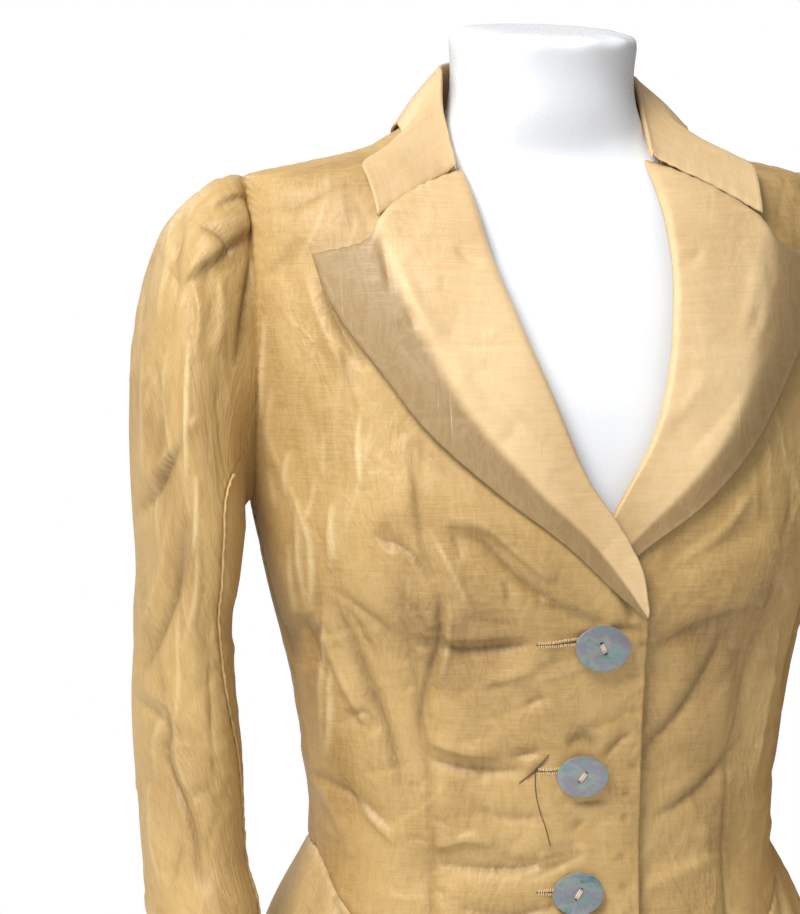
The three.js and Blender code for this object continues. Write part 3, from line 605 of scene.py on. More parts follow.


# The places of the creases: (x, z) on the wearer's right front, its lapel and its peplum. Low ridges with
# a high pale are mostly painted highlight streaks.
CHEST = [
    crease([(-76, 470), (-60, 467), (-50, 456), (-32, 441), (-4, 430)], -6.1, 4.9),
    crease([(-78, 477), (-58, 474), (-44, 462), (-24, 446)], 4.5, 4.1, pale=0.2),
    crease([(-34, 436), (-16, 433), (2, 426)], -4.5, 4.1),
    crease([(5, 442), (11, 439), (17, 426)], -2.5, 2.5),
    crease([(8, 423), (18, 422), (25, 420)], -2.3, 1.8),
    crease([(-95, 414), (-65, 411), (-36, 414)], -5.1, 3.3),
    crease([(-96, 420), (-66, 418), (-38, 420)], 3.1, 3.3, pale=0.25),
    crease([(-81, 441), (-80, 417), (-83, 396), (-85, 373)], -5.6, 2.6),
    crease([(-76, 436), (-75, 412), (-78, 392)], 3.4, 2.5, pale=0.2),
    crease([(-36, 383), (-30, 386), (-24, 388)], -2.5, 2.5),
    crease([(-83, 357), (-72, 352), (-52, 349), (-33, 350)], -5.3, 3.7),
    crease([(-82, 364), (-66, 359), (-46, 357)], 3.1, 3.3, pale=0.2),
    crease([(-42, 356), (-34, 358), (-25, 360)], -2.5, 2.5),
    crease([(-13, 362), (-4, 367), (3, 360)], -3.4, 2.1),
    crease([(6, 354), (14, 364), (22, 368)], -3.1, 2.3),
    crease([(-9, 332), (0, 333), (10, 333)], -2.0, 2),
    crease([(-33, 343), (-28, 350), (-22, 357)], -2.5, 1.8),
    crease([(-77, 301), (-37, 299), (-19, 306), (-3, 306)], -5.6, 4.1),
    crease([(-80, 308), (-62, 314), (-48, 311)], 3.4, 3.3, pale=0.2),
    crease([(-60, 395), (-44, 398), (-28, 404)], 2.5, 3.3, pale=0.15),
    crease([(-58, 330), (-40, 325), (-20, 327)], -2.5, 4.1),
    crease([(-66, 280), (-40, 276), (-16, 281), (8, 278)], -3.6, 4.9),
    crease([(-58, 252), (-30, 256), (-6, 250)], 2.9, 4.9),
    crease([(-131, 597), (-124, 575), (-113, 552)], -2.7, 4.1),
    crease([(-122, 562), (-121, 550), (-118, 540)], -1.9, 3.3),
    crease([(-138, 600), (-131, 574), (-120, 548), (-112, 526)], 1.9, 4.1, pale=0.15),
    crease([(-155, 579), (-156, 553), (-156, 526)], 1.3, 2.5, pale=0.75),
    crease([(-146, 510), (-147, 498), (-146, 486)], 1.0, 2, pale=0.8),
    crease([(-115, 532), (-117, 512), (-116, 492)], 1.1, 2.1, pale=0.85),
    crease([(-142, 486), (-140, 456), (-135, 427)], 1.8, 2.5, pale=0.75),
    crease([(-128, 485), (-129, 468), (-128, 451)], 1.4, 2, pale=0.8),
    crease([(-129, 436), (-127, 396), (-123, 350)], 1.8, 2.5, pale=0.6),
    crease([(-127, 436), (-108, 387), (-99, 362), (-93, 333)], -3.8, 3.7),
    crease([(-134, 430), (-118, 392), (-108, 366)], 2.7, 3.7, pale=0.25),
    crease([(-138, 426), (-131, 408), (-124, 393)], -2.5, 4.1),
    crease([(-118, 377), (-111, 371), (-104, 367)], -1.8, 3.3),
    crease([(-126, 341), (-110, 331), (-96, 318)], -3.1, 4.9),
    crease([(-113, 337), (-104, 322), (-94, 310)], 2.5, 3.3, pale=0.3),
    crease([(-132, 352), (-120, 326), (-112, 300)], 2.1, 4.1, pale=0.2),
    crease([(-158, 630), (-137, 636), (-113, 650)], -1.6, 4.9),
    crease([(-139, 618), (-147, 606), (-157, 598)], -1.6, 4.1),
    crease([(-100, 476), (-92, 496), (-90, 520)], 1.4, 5.7),
    crease([(-112, 470), (-96, 462), (-84, 446)], -2.9, 4.9),
    crease([(-100, 525), (-84, 508), (-66, 494)], -1.4, 4.9),
    crease([(-92, 517), (-92, 491), (-89, 461), (-81, 437)], -2.6, 4),
    crease([(-80, 404), (-85, 392), (-86, 380), (-84, 364)], -4.2, 2.4),
    crease([(-106, 477), (-106, 469), (-104, 461)], -1.6, 2),
    crease([(-102, 469), (-96, 455), (-90, 441)], -1.6, 2.4),
    crease([(-86, 474), (-80, 461), (-73, 447), (-65, 430)], 2.2, 2.8, pale=0.35),
    crease([(-76, 477), (-73, 467), (-71, 457)], -1.8, 2),
    crease([(-70, 427), (-56, 426), (-41, 424)], -2.2, 2.6),
    crease([(-49, 448), (-47, 436)], -1.8, 2),
    crease([(-95, 414), (-77, 413), (-63, 411), (-47, 413), (-34, 415)], -3.0, 2.2),
    crease([(-127, 441), (-109, 425), (-99, 414)], -2.2, 2.2),
    crease([(-121, 432), (-115, 420), (-107, 405)], -1.8, 2),
    crease([(-98, 436), (-90, 428), (-83, 417)], -2.2, 2),
    crease([(-125, 428), (-116, 409), (-107, 386), (-99, 361), (-95, 338)], -2.8, 2.6),
    crease([(-134, 426), (-138, 412), (-134, 396)], -2.0, 3),
    crease([(-129, 424), (-133, 410), (-130, 398)], -1.8, 2.4),
    crease([(-116, 517), (-116, 505), (-116, 493)], 0.8, 2, pale=0.9),
    crease([(-129, 485), (-128, 469), (-127, 455)], 0.8, 2, pale=0.95),
    crease([(-146, 495), (-137, 467), (-134, 427)], 1.2, 2.4, pale=0.9),
    crease([(-144, 462), (-142, 443), (-139, 425)], 1.0, 2.2, pale=0.8),
    crease([(-124, 401), (-122, 369), (-123, 350)], 1.2, 2.4, pale=0.95),
    crease([(-120, 370), (-110, 377), (-103, 367)], -2.4, 2.6),
    crease([(-46, 451), (-28, 440), (-14, 431), (4, 425)], -3.4, 4.4),
    crease([(10, 443), (15, 435), (18, 426)], -2.4, 1.8),
    crease([(5, 423), (16, 421), (26, 421)], -2.0, 1.8),
    crease([(-13, 362), (-6, 364), (2, 362)], -2.4, 2.4),
    crease([(-47, 306), (-34, 302), (-20, 301), (-3, 306)], -3.0, 3),
    crease([(-10, 318), (-2, 324)], -1.8, 2),
    crease([(-34, 293), (-23, 297), (-11, 303)], -1.8, 2.4),
    crease([(-43, 355), (-34, 357), (-25, 358)], -2.0, 2),
]
# Short puckers where the stitches of the front's edge and of the dart draw the cloth in
PUCKERS = [
    crease([(x, z), (x + 3, z + lift), (x + long, z)], -1.5, 1.3)
    for x, z, long, lift in zip(
        *table(
            "x z long lift",
            (18, 397, 7, 1),
            (21, 415, 6, -1),
            (18, 378, 7, 1),
            (18, 351, 8, -1),
            (16, 337, 6, -1),
            (16, 325, 5, -1),
            (14, 303, 6, 1),
            (15, 287, 7, 1),
            (-97, 404, 11, 0.5),
            (-94, 391, 9, 0.5),
            (-86, 376, 8, -1),
            (-81, 352, 9, 0.5),
            (-92, 341, 10, -1),
            (-79, 322, 9, 0.5),
            (-90, 312, 9, 1),
            (-80, 286, 9, 1),
            (-91, 268, 9, 1),
            (-82, 247, 9, 1),
        ).values()
    )
]
DART = [
    crease([(-99.4, 446), (-96.4, 423.6), (-89.4, 396), (-84.6, 369), (-81, 343.6), (-79.5, 310)], -2.4, 1.3),
    crease([(-79.5, 330), (-79, 291), (-80, 262), (-84, 214)], -2.2, 1.3),
]
LEFT_CHEST = [
    crease([(-20, 350), (-50, 380), (-80, 430)], -3.8, 5.7),
    crease([(-30, 410), (-62, 424), (-92, 430)], -4.3, 4.9),
    crease([(-38, 452), (-66, 470), (-84, 490)], 3.5, 4.9, pale=0.2),
    crease([(-34, 322), (-62, 336), (-92, 362)], -4.2, 4.9),
    crease([(-28, 286), (-60, 296), (-90, 300)], 3.0, 4.9),
    crease([(-120, 540), (-126, 500), (-118, 450)], 3.0, 4.1, pale=0.4),
    crease([(-136, 470), (-128, 420), (-120, 372)], -3.5, 4.1),
    crease([(-150, 560), (-150, 520), (-140, 470)], 2.2, 3.3, pale=0.4),
    crease([(-108, 420), (-104, 380), (-98, 330)], 3.0, 3.3, pale=0.3),
]
LAPEL_CREASES = [
    crease([(-101, 615), (-99, 601), (-98, 587)], -1.6, 1.8),
    crease([(-91, 581), (-89, 575), (-88, 569)], -1.3, 1.6),
    crease([(-65, 612), (-60, 606), (-54, 603)], -1.3, 2.5),
    crease([(-90, 561), (-60, 562), (-34, 562)], -0.6, 1),
    crease([(-92, 600), (-86, 582), (-78, 566)], 1.3, 4.1),
    crease([(-60, 548), (-45, 530), (-30, 514)], 1.0, 4.9),
    crease([(-84, 548), (-66, 528), (-46, 508)], -0.8, 4.9),
    crease([(-96, 574), (-88, 558), (-80, 546)], -1.1, 3.3),
]
PEPLUM_CREASES = [
    crease([(-118, 296), (-122, 250), (-130, 190)], -3.2, 4.1),
    crease([(-108, 284), (-108, 240), (-112, 180)], 2.8, 4.1, pale=0.3),
    crease([(-92, 268), (-92, 226), (-96, 170)], -2.8, 4.1),
    crease([(-72, 246), (-72, 206), (-76, 160)], 2.4, 4.9),
    crease([(-48, 226), (-50, 190), (-54, 150)], -2.4, 4.9),
    crease([(-20, 214), (-20, 180), (-24, 144)], 1.6, 5.7),
]
# (s, z) on the wearer's right sleeve, where s is measured across the view of its front corner. Low ridges
# with a high pale are mostly painted highlight streaks; a dark of a crease's own sets how strong its painted
# shade is.
SLEEVE_CREASES = [
    crease([(-169, 631), (-161, 636), (-153, 638), (-146, 634)], 2.2, 20, step=0.7),
    crease([(-182, 594), (-175, 600), (-168, 607), (-161, 614), (-153, 621), (-144, 624)], 3.6, 24, step=0.7),
    crease([(-147, 620), (-149, 606), (-151, 590), (-153, 574), (-155, 552)], -2.0, 2.4, dark=1.3),
    crease([(-179, 626), (-186, 610), (-190, 596), (-188, 584)], -1.6, 5, dark=0.2),
    crease([(-196, 616), (-202, 604), (-206, 590), (-207, 574)], -1.4, 4.5, dark=0.25),
    crease([(-174, 622), (-167, 618), (-160, 610)], -3.2, 2.1),
    crease([(-176, 596), (-173, 580), (-174, 556)], 2.4, 3.3),
    crease([(-164, 600), (-162, 582), (-164, 560)], 2.2, 3.3),
    crease([(-188, 628), (-190, 604), (-196, 574)], 2.4, 4.9, pale=0.3),
    crease([(-180, 636), (-184, 614), (-184, 586)], -2.2, 4.1),
    crease([(-162, 566), (-162, 530), (-160, 490)], -1.2, 5.7, dark=0.0),
    crease([(-178, 566), (-178, 530), (-178, 494)], 2.2, 2.1, pale=0.95),
    crease([(-173, 499), (-173, 478), (-175, 456)], 1.8, 2.1, pale=0.8),
    crease([(-177, 524), (-190, 499), (-199, 486), (-210, 476)], -4.0, 3.3),
    crease([(-172, 528), (-188, 508), (-202, 494)], 2.8, 3.3, pale=0.35),
    crease([(-179, 480), (-185, 441), (-204, 394)], -4.0, 4.1),
    crease([(-186, 484), (-192, 448), (-207, 412)], 3.0, 3.3, pale=0.35),
    crease([(-172, 470), (-174, 436), (-182, 404)], 2.4, 3.3, pale=0.4),
    crease([(-212, 382), (-190, 372), (-190, 353), (-176, 322), (-170, 290)], -3.6, 3.3),
    crease([(-206, 388), (-186, 380), (-182, 352), (-172, 330)], 2.6, 3.3, pale=0.35),
    crease([(-178, 336), (-171, 339), (-163, 342)], -2.0, 2.5),
    crease([(-187, 290), (-184, 302), (-180, 314)], -2.0, 2.5),
    crease([(-200, 340), (-198, 312), (-192, 286)], 2.0, 3.3, pale=0.4),
    crease([(-204, 560), (-202, 524), (-204, 492)], 1.8, 3.3, pale=0.5),
    crease([(-196, 556), (-192, 530), (-194, 504)], -2.2, 3.3),
    crease([(-168, 420), (-166, 380), (-164, 340)], -1.6, 3.3, dark=0.1),
    crease([(-206, 270), (-184, 258), (-164, 262)], -3.2, 4.1),
    crease([(-166, 246), (-186, 226), (-204, 222)], 2.6, 4.1),
    crease([(-160, 226), (-172, 190), (-176, 150)], -2.6, 4.9),
    crease([(-190, 180), (-186, 140), (-188, 96)], 2.4, 4.9, pale=0.3),
]
BACK_CREASES = [
    crease([(-20, 360), (-60, 348), (-104, 352)], -2.9, 4.9),
    crease([(-24, 330), (-64, 322), (-110, 318)], -2.4, 4.9),
    crease([(-30, 420), (-70, 398), (-116, 392)], 2.2, 5.7, pale=0.2),
    crease([(-60, 640), (-66, 590), (-60, 540)], -1.9, 5.7),
    crease([(-110, 610), (-104, 560), (-112, 500)], 1.9, 4.9, pale=0.4),
    crease([(-130, 520), (-122, 470), (-124, 420)], -2.4, 4.9),
    crease([(-40, 520), (-52, 470), (-46, 430)], 1.6, 5.7, pale=0.3),
]

# Warp-wise crinkles all over the cloth, and bent ones where the body turns
FRONT_CRINKLES = (
    crinkles(11, 80, (-165, -60), (300, 680), 86, 12, (18, 70), (0.15, 0.55), 0.6)
    + crinkles(12, 130, (-130, 26), (230, 440), 6, 30, (10, 44), (0.25, 1.0), 0.3)
    + crinkles(13, 50, (-160, 20), (440, 640), 70, 40, (10, 40), (0.1, 0.4), 0.3)
)
LEFT_CRINKLES = (
    crinkles(21, 90, (-165, -60), (300, 680), 94, 14, (18, 70), (0.22, 0.88), 0.6)
    + crinkles(22, 120, (-130, 26), (230, 450), -35, 24, (14, 50), (0.22, 0.88), 0.3)
    + crinkles(23, 60, (-160, 20), (440, 640), 110, 40, (10, 40), (0.15, 0.56), 0.3)
)
BACK_CRINKLES = crinkles(31, 120, (-165, 0), (300, 680), 90, 20, (18, 70), (0.22, 0.80), 0.5) + crinkles(
    32, 80, (-150, 0), (310, 480), 8, 26, (12, 50), (0.2, 0.55), 0.3
)
SLEEVE_CRINKLES = (
    crinkles(41, 110, (-215, -155), (70, 600), 88, 13, (18, 70), (0.2, 0.7), 0.8)
    + crinkles(42, 50, (-215, -155), (260, 420), 60, 35, (10, 30), (0.3, 0.8), 0.4)
    + crinkles(43, 24, (-215, -155), (560, 660), 60, 40, (8, 26), (0.15, 0.4), 0.4)
)
LAPEL_CRINKLES = crinkles(51, 70, (-132, 20), (440, 650), 70, 40, (8, 34), (0.12, 0.45), 0.2)
COLLAR_CRINKLES = crinkles(61, 50, (-260, 260), (0, 110), 60, 40, (10, 40), (0.15, 0.48), 0.2)
PEPLUM_CRINKLES = crinkles(71, 90, (-165, 20), (128, 300), 86, 18, (14, 60), (0.22, 0.80), 0.5)


# Sewn edges sink into their seam and pucker beside it
SEAM = dict(sink=0.9, wide=1.7, pucker=0.32, reach=5.5, pitch=7.5)
CALM = 4.5  # how far from a seam the creases start
RIM_SWELL = dict(thick=0.5, wide=1.6)  # a turned edge is thicker than the cloth
VIEW_TURN = math.radians(16)  # from the front towards the wearer's right


def edge_lengths(points, axis):
    """Distance along a grid's lines from their start, and from their end."""
    steps = np.linalg.norm(np.diff(points, axis=axis), axis=-1)
    shape = list(steps.shape)
    shape[axis] = 1
    along = np.concatenate([np.zeros(shape), np.cumsum(steps, axis=axis)], axis=axis)
    return along, np.take(along, [-1], axis=axis) - along


def seam_relief(points, sewn):
    """How far the cloth sinks and puckers beside the edges named in sewn: left, right, bottom and top."""
    across, back = edge_lengths(points, 0)
    up, down = edge_lengths(points, 1)
    sides = dict(left=(across, up), right=(back, up), bottom=(up, across), top=(down, across))
    total = np.zeros(across.shape)
    for name in sewn.split():
        off, run = sides[name]
        wave = np.sin(2 * math.pi * run / SEAM["pitch"] + 2.1 * np.sin(run / 11.3) + 1.3 * np.sin(run / 4.7))
        total -= SEAM["sink"] * bell(off, SEAM["wide"])
        total += SEAM["pucker"] * wave * np.exp(-off / SEAM["reach"])
    return total


def grid_normals(points):
    return unit(np.cross(np.gradient(points, axis=0), np.gradient(points, axis=1)))


def closed_grid(points, normals, thick):
    """Vertices and faces of a thin closed wall round a grid of points, with a rounded rim."""
    columns, rows = points.shape[0], points.shape[1]
    half = (thick / 2)[..., None]
    outer, inner = points + normals * half, points - normals * half
    ring = [(i, 0) for i in range(columns)] + [(columns - 1, j) for j in range(1, rows)]
    ring += [(i, rows - 1) for i in range(columns - 2, -1, -1)] + [(0, j) for j in range(rows - 2, 0, -1)]
    ri, rj = np.array(ring).T
    inwards = points[np.clip(ri, 1, columns - 2), np.clip(rj, 1, rows - 2)]
    rim = points[ri, rj] + unit(points[ri, rj] - inwards) * half[ri, rj]
    count = columns * rows
    vertices = np.vstack([outer.reshape(-1, 3), inner.reshape(-1, 3), rim])
    i, j = np.meshgrid(np.arange(columns - 1), np.arange(rows - 1), indexing="ij")
    a = (i * rows + j).ravel()
    face = np.stack([a, a + rows, a + rows + 1, a + 1], -1)
    edge = ri * rows + rj
    after = np.roll(edge, -1)
    mid = 2 * count + np.arange(len(ring))
    mid_after = np.roll(mid, -1)
    skirts = [np.stack([after, edge, mid, mid_after], -1)]
    skirts.append(np.stack([mid_after, mid, edge + count, after + count], -1))
    source = np.concatenate([np.arange(count), np.arange(count), edge])
    return vertices, np.vstack([face, face[:, ::-1] + count] + skirts), source


def mesh_object(name, vertices, faces):
    """An object at the origin with its place, given in mm, in its mesh."""
    mesh = bpy.data.meshes.new(name)
    mesh.from_pydata((vertices * MM).tolist(), [], faces.tolist())
    mesh.polygons.foreach_set("use_smooth", [True] * len(mesh.polygons))
    made = bpy.data.objects.new(name, mesh)
    bpy.context.scene.collection.objects.link(made)
    return made


def face_out(mesh):
    """Turns a closed mesh so that its faces point out."""
    shape = bmesh.new()
    shape.from_mesh(mesh)
    if shape.calc_volume(signed=True) < 0:
        bmesh.ops.reverse_faces(shape, faces=shape.faces)
    shape.to_mesh(mesh)
    shape.free()


def finish_cloth(made, uv, pale, tone, source):
    """Gives a shell its weave's coordinates, in metres of cloth, and the marks that its colour follows:
    paleness, mostly painted highlight, and tone, mostly painted shade.
    """
    mesh = made.data
    face_out(mesh)
    loops = np.empty(len(mesh.loops), int)
    mesh.loops.foreach_get("vertex_index", loops)
    layer = mesh.uv_layers.new(name="cloth")
    layer.data.foreach_set("uv", (uv.reshape(-1, 2)[source][loops] * MM).ravel())
    for name, values in (("pale", pale), ("tone", tone)):
        mesh.attributes.new(name, "FLOAT", "POINT").data.foreach_set("value", values.ravel()[source])


def cloth_sheet(node, surface, columns, rows, finish, sewn="", centre=(0, 10)):
    """A thin shell of cloth that stands for a node. surface gives points, relief, paleness (painted
    highlight), tone (mostly painted shade) and uv on a grid. sewn names its edges in seams, and centre is the
    middle of what it goes round."""
    u, v = np.meshgrid(np.linspace(0, 1, int(columns) + 1), np.linspace(0, 1, int(rows) + 1), indexing="ij")
    middle, relief, pale, tone, uv = surface(u, v)
    for index, beyond in ((0, 1), (-1, -2)):
        for line, next_line in ((middle[index], middle[beyond]), (middle[:, index], middle[:, beyond])):
            line += unit(next_line - line) * SEAM_GAP / 2
    across, back = edge_lengths(middle, 0)
    up, down = edge_lengths(middle, 1)
    sides = dict(left=across, right=back, bottom=up, top=down)
    for name in sewn.split():
        relief = relief * ease(0, CALM, sides[name])
    relief = relief + seam_relief(middle, sewn)
    thick = np.full(relief.shape, CLOTH)
    for name in sides.keys() - set(sewn.split()):
        thick = thick + RIM_SWELL["thick"] * bell(sides[name], RIM_SWELL["wide"])
    points = middle + outwards(middle, centre) * relief[..., None]
    vertices, faces, source = closed_grid(points, outwards(points, centre), thick)
    made = mesh_object(node + "_cloth", vertices, faces)
    finish_cloth(made, uv, pale, tone, source)
    made.data.materials.append(finish)
    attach(made, "root")
    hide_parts(node)
    return made


def outwards(points, centre):
    """Normals of a grid that point away from a centre (x, y)."""
    normals = grid_normals(points)
    if np.sum(normals[..., :2] * (points[..., :2] - centre)) < 0:
        normals = -normals
    return normals


# Length of the body's cloth by height, so that the weave keeps its scale on the shoulders
PROFILE_Z = np.linspace(100, 692, 593)
_profile = section_point(LEFT, 60, PROFILE_Z)
PROFILE_LENGTH = np.concatenate([[0], np.cumsum(np.linalg.norm(np.diff(_profile, axis=0), axis=1))])
WEAVE_RADIUS = 132
SLEEVE_WEAVE_RADIUS = 46

# A tone of 1 is the strip colour of the cloth, a dark colour used for painted shade, and a tone of 0 is its
# own
TROUGH_SHADE = 0.7  # painted shade in the sharpest creases
# The whole collar is blended this far toward the strip colour
COLLAR_TONE = 0.22
LAPEL_SHADE_STRIP = 0.9  # painted shade on the outer part of a lapel, which turns away from the light
LEFT_LAPEL_SHADE = 0.14  # painted shade on the inner part of the wearer's left lapel
PEPLUM_PALE = 0.3  # the peplum's cloth is blended this much further toward its pale colour all over

# The least and the most relief of a front near its edge, of a front under its lapel, and of a peplum's front
EDGE_TURN = 80
EDGE_RELIEF = {RIGHT: (-2.3, 2.0), LEFT: (-2.3, 0.5)}
COVERED_RELIEF = (-3, 0.3)
PEPLUM_RELIEF = (-1.2, 1.0)

GORGE = dict(across=0.9, up=2.0, below=0.7)  # the lapel's top runs on under the collar
LAPEL_WARP = 1.25  # the lapel's grid is closer at its fold
SLEEVE_WARP = dict(down=1.25, across=1.4)  # the sleeve's grid is closer at its head and front seam
COLLAR_SPAN = dict(half=210, deep=100)


def body_uv(turn, z):
    return np.stack([np.radians(turn) * WEAVE_RADIUS, np.interp(z, PROFILE_Z, PROFILE_LENGTH)], -1)


def own_x(side, points):
    """How far across the front a place lies, below 0 on the piece's own side."""
    return -side * points[..., 0]


def no_deeper(relief):
    """Relief whose troughs level out before they reach the form."""
    return np.where(relief < 0, -DEEPEST * np.tanh(-relief / DEEPEST), relief)


def front_surface(side, creases):
    laps = LAP if side == RIGHT else -LAP

    def surface(u, v):
        turn, z = panel_place(side, u, v, True)
        x = section_point(RIGHT, turn, z)[..., 0]
        points = body_point(side, turn, z, laps * lapped(turn))
        height, pale, dark = creased(creases, x, z)
        height = np.where(turn > EDGE_TURN, np.clip(height, *EDGE_RELIEF[side]), height)
        relief = no_deeper(height + (1 - lapped(turn)) * fold_relief(x, z))
        relief = mix(relief, np.clip(relief, *COVERED_RELIEF), under_lapel(side, x, z))
        return points, relief, pale, TROUGH_SHADE * dark, body_uv(turn, z)

    return surface


def under_lapel(side, x, z):
    """1 where the lapel lies over the front, 0 away from it."""
    edge, top = LAPEL_EDGE[side], LAPEL_TOP[side]
    outline_z = np.concatenate([edge["z"], top["z"][::-1][1:]])
    outline_x = np.concatenate([edge["x"], top["x"][::-1][1:]])
    inside = x - np.interp(z, outline_z, outline_x)
    return ease(-9, 0, inside) * ease(outline_z[0] - 2, outline_z[0] + 8, z)


def back_surface(side, creases):
    def surface(u, v):
        turn, z = panel_place(side, u, v, False)
        points = body_point(side, turn, z, np.zeros(u.shape))
        relief, pale, dark = creased(creases, -np.abs(points[..., 0]), z)
        return points, relief, pale, TROUGH_SHADE * dark, body_uv(turn, z)

    return surface


def lapel_surface(side, creases):
    laps = LAP if side == RIGHT else -LAP

    def surface(u, across):
        w = across**LAPEL_WARP
        fold = [read(LAPEL_FOLD[side], "u", u, name) for name in "xz"]
        edge = [read(LAPEL_EDGE[side], "u", u, name) for name in "xz"]
        top = [read(LAPEL_TOP[side], "w", w, name) for name in "xz"]
        straight = [mix(LAPEL_TOP[side][name][0], LAPEL_EDGE[side][name][-1], w) for name in "xz"]
        x, z = (mix(f, e, w) + u**5 * (t - s) for f, e, t, s in zip(fold, edge, top, straight))
        gorge = ease(0.56, 0.46, w) * u**8
        x, z = x + GORGE["across"] * gorge, z + GORGE["up"] * gorge
        turn = turn_at(x, z)
        rise = read(LAPEL_RISE, "w", w, "rise")
        lies = mix(np.minimum(rise, LAPEL_FLAT), rise, ease(0.2, 0.55, u))
        lies = mix(LAPEL_FLAT, lies, ease(0, 0.1, u))
        points = body_point(side, turn, z, laps * lapped(turn) + lies - GORGE["below"] * gorge)
        points[..., 0] -= side * read(LAPEL_RISE, "w", w, "past") * ease(0, 0.1, u)
        relief, pale, _ = creased(creases, x, z)
        # Painted shade: the outer strip of the lapel, which turns away from the light, and the inner part of
        # the wearer's left lapel are blended toward the dark strip colour
        shade_strip = ease(0.56, 0.68, w + 0.03 * np.sin(9 * u))
        tone = LAPEL_SHADE_STRIP * shade_strip + (LEFT_LAPEL_SHADE if side == LEFT else 0) * ease(0.7, 0.5, w)
        return points, relief, pale, tone, np.stack([x, z], -1)

    return surface


def leaf_edge(side, way):
    turn, z, height = (read(COLLAR_LEAF[side], "way", way, name) for name in ("turn", "z", "height"))
    return body_point(side, turn, z, height)


def collar_surface(u, w):
    signed = np.clip(mix(-1, 1, u), -1, 1)
    way, side = np.abs(signed), np.where(signed < 0, -1.0, 1.0)

    def line(rows):
        return np.stack([side * read(rows, "way", way, "x")] + [read(rows, "way", way, n) for n in "yz"], -1)

    on_right = (side < 0)[..., None]
    leaf = np.where(on_right, leaf_edge(RIGHT, way), leaf_edge(LEFT, way))
    fold = np.where(on_right, line(COLLAR_FOLD[RIGHT]), line(COLLAR_FOLD[LEFT]))
    foot = np.where(on_right, line(COLLAR_FOOT[RIGHT]), line(COLLAR_FOOT[LEFT]))
    out = (leaf - fold) * [1, 1, 0]
    out = unit(out)
    roll = (COLLAR_ROLL * mix(1, 0.75, way))[..., None]
    up = np.array([0, 0, 1.0])
    outer = fold + out * roll - up * roll
    inner = fold - out * 0.2 * roll - up * 1.4 * roll
    fall = (leaf + outer) / 2 + out * 1.5
    points = through([leaf, fall, outer, fold, inner, foot], w)
    around = signed * COLLAR_SPAN["half"]
    drop = w * COLLAR_SPAN["deep"]
    relief, pale, _ = creased(COLLAR_CRINKLES, around, drop)
    return points, relief, pale, np.full(u.shape, COLLAR_TONE), np.stack([around, drop], -1)


def through(stations, w):
    """Points on centripetal Catmull-Rom curves through stations, at a share w of each curve's spans."""
    first, last = stations[0], stations[-1]
    p = [2 * first - stations[1]] + stations + [2 * last - stations[-2]]
    spans = len(stations) - 1
    k = np.minimum((w * spans).astype(int), spans - 1)
    t = (w * spans - k)[..., None]
    total = np.zeros(w.shape + (3,))
    for n in range(spans):
        p0, p1, p2, p3 = p[n : n + 4]
        ends = zip(p[n:], p[n + 1 : n + 4])
        d0, d1, d2 = (np.sqrt(np.linalg.norm(b - a, axis=-1, keepdims=True)) for a, b in ends)
        t1 = (p1 - p0) / d0 - (p2 - p0) / (d0 + d1) + (p2 - p1) / d1
        t2 = (p2 - p1) / d1 - (p3 - p1) / (d1 + d2) + (p3 - p2) / d2
        t1, t2 = t1 * d1, t2 * d1
        curve = p1 + t1 * t + (-3 * p1 + 3 * p2 - 2 * t1 - t2) * t**2 + (2 * p1 - 2 * p2 + t1 + t2) * t**3
        total = np.where((k == n)[..., None], curve, total)
    return total


def sleeve_surface(side, is_top):
    def surface(u, v):
        v = v ** SLEEVE_WARP["down"]
        u = 1 - (1 - u) ** SLEEVE_WARP["across"] if is_top else u
        fore, hind = read(SLEEVE_SEAMS, "v", v, "fore"), read(SLEEVE_SEAMS, "v", v, "hind")
        angle = mix(hind - 360, fore, u) if is_top else mix(fore, hind, u)
        points = sleeve_point(side, angle, v)
        across = -np.abs(points[..., 0]) * math.cos(VIEW_TURN) - points[..., 1] * math.sin(VIEW_TURN)
        relief, pale, dark = creased(SLEEVE_CREASES + SLEEVE_CRINKLES, across, points[..., 2])
        relief = relief + tuck_relief(angle, v)
        relief = relief * ease(0, 0.012, v)
        length, _ = edge_lengths(points, 1)
        uv = np.stack([np.radians(angle) * SLEEVE_WEAVE_RADIUS, -length], -1)
        return points, relief, pale, TROUGH_SHADE * dark, uv

    return surface


def tuck_relief(angle, v):
    """The swell of the sleeve's head between its tucks."""
    total = 0
    for at, rise, reach in zip(*TUCKS.values()):
        off = np.abs((angle % 360 - at + 540) % 360 - 180)
        total = total + rise * bell(off, TUCK_WIDTH) * ease(0, 0.02, v) * bell(v, reach)
    return total


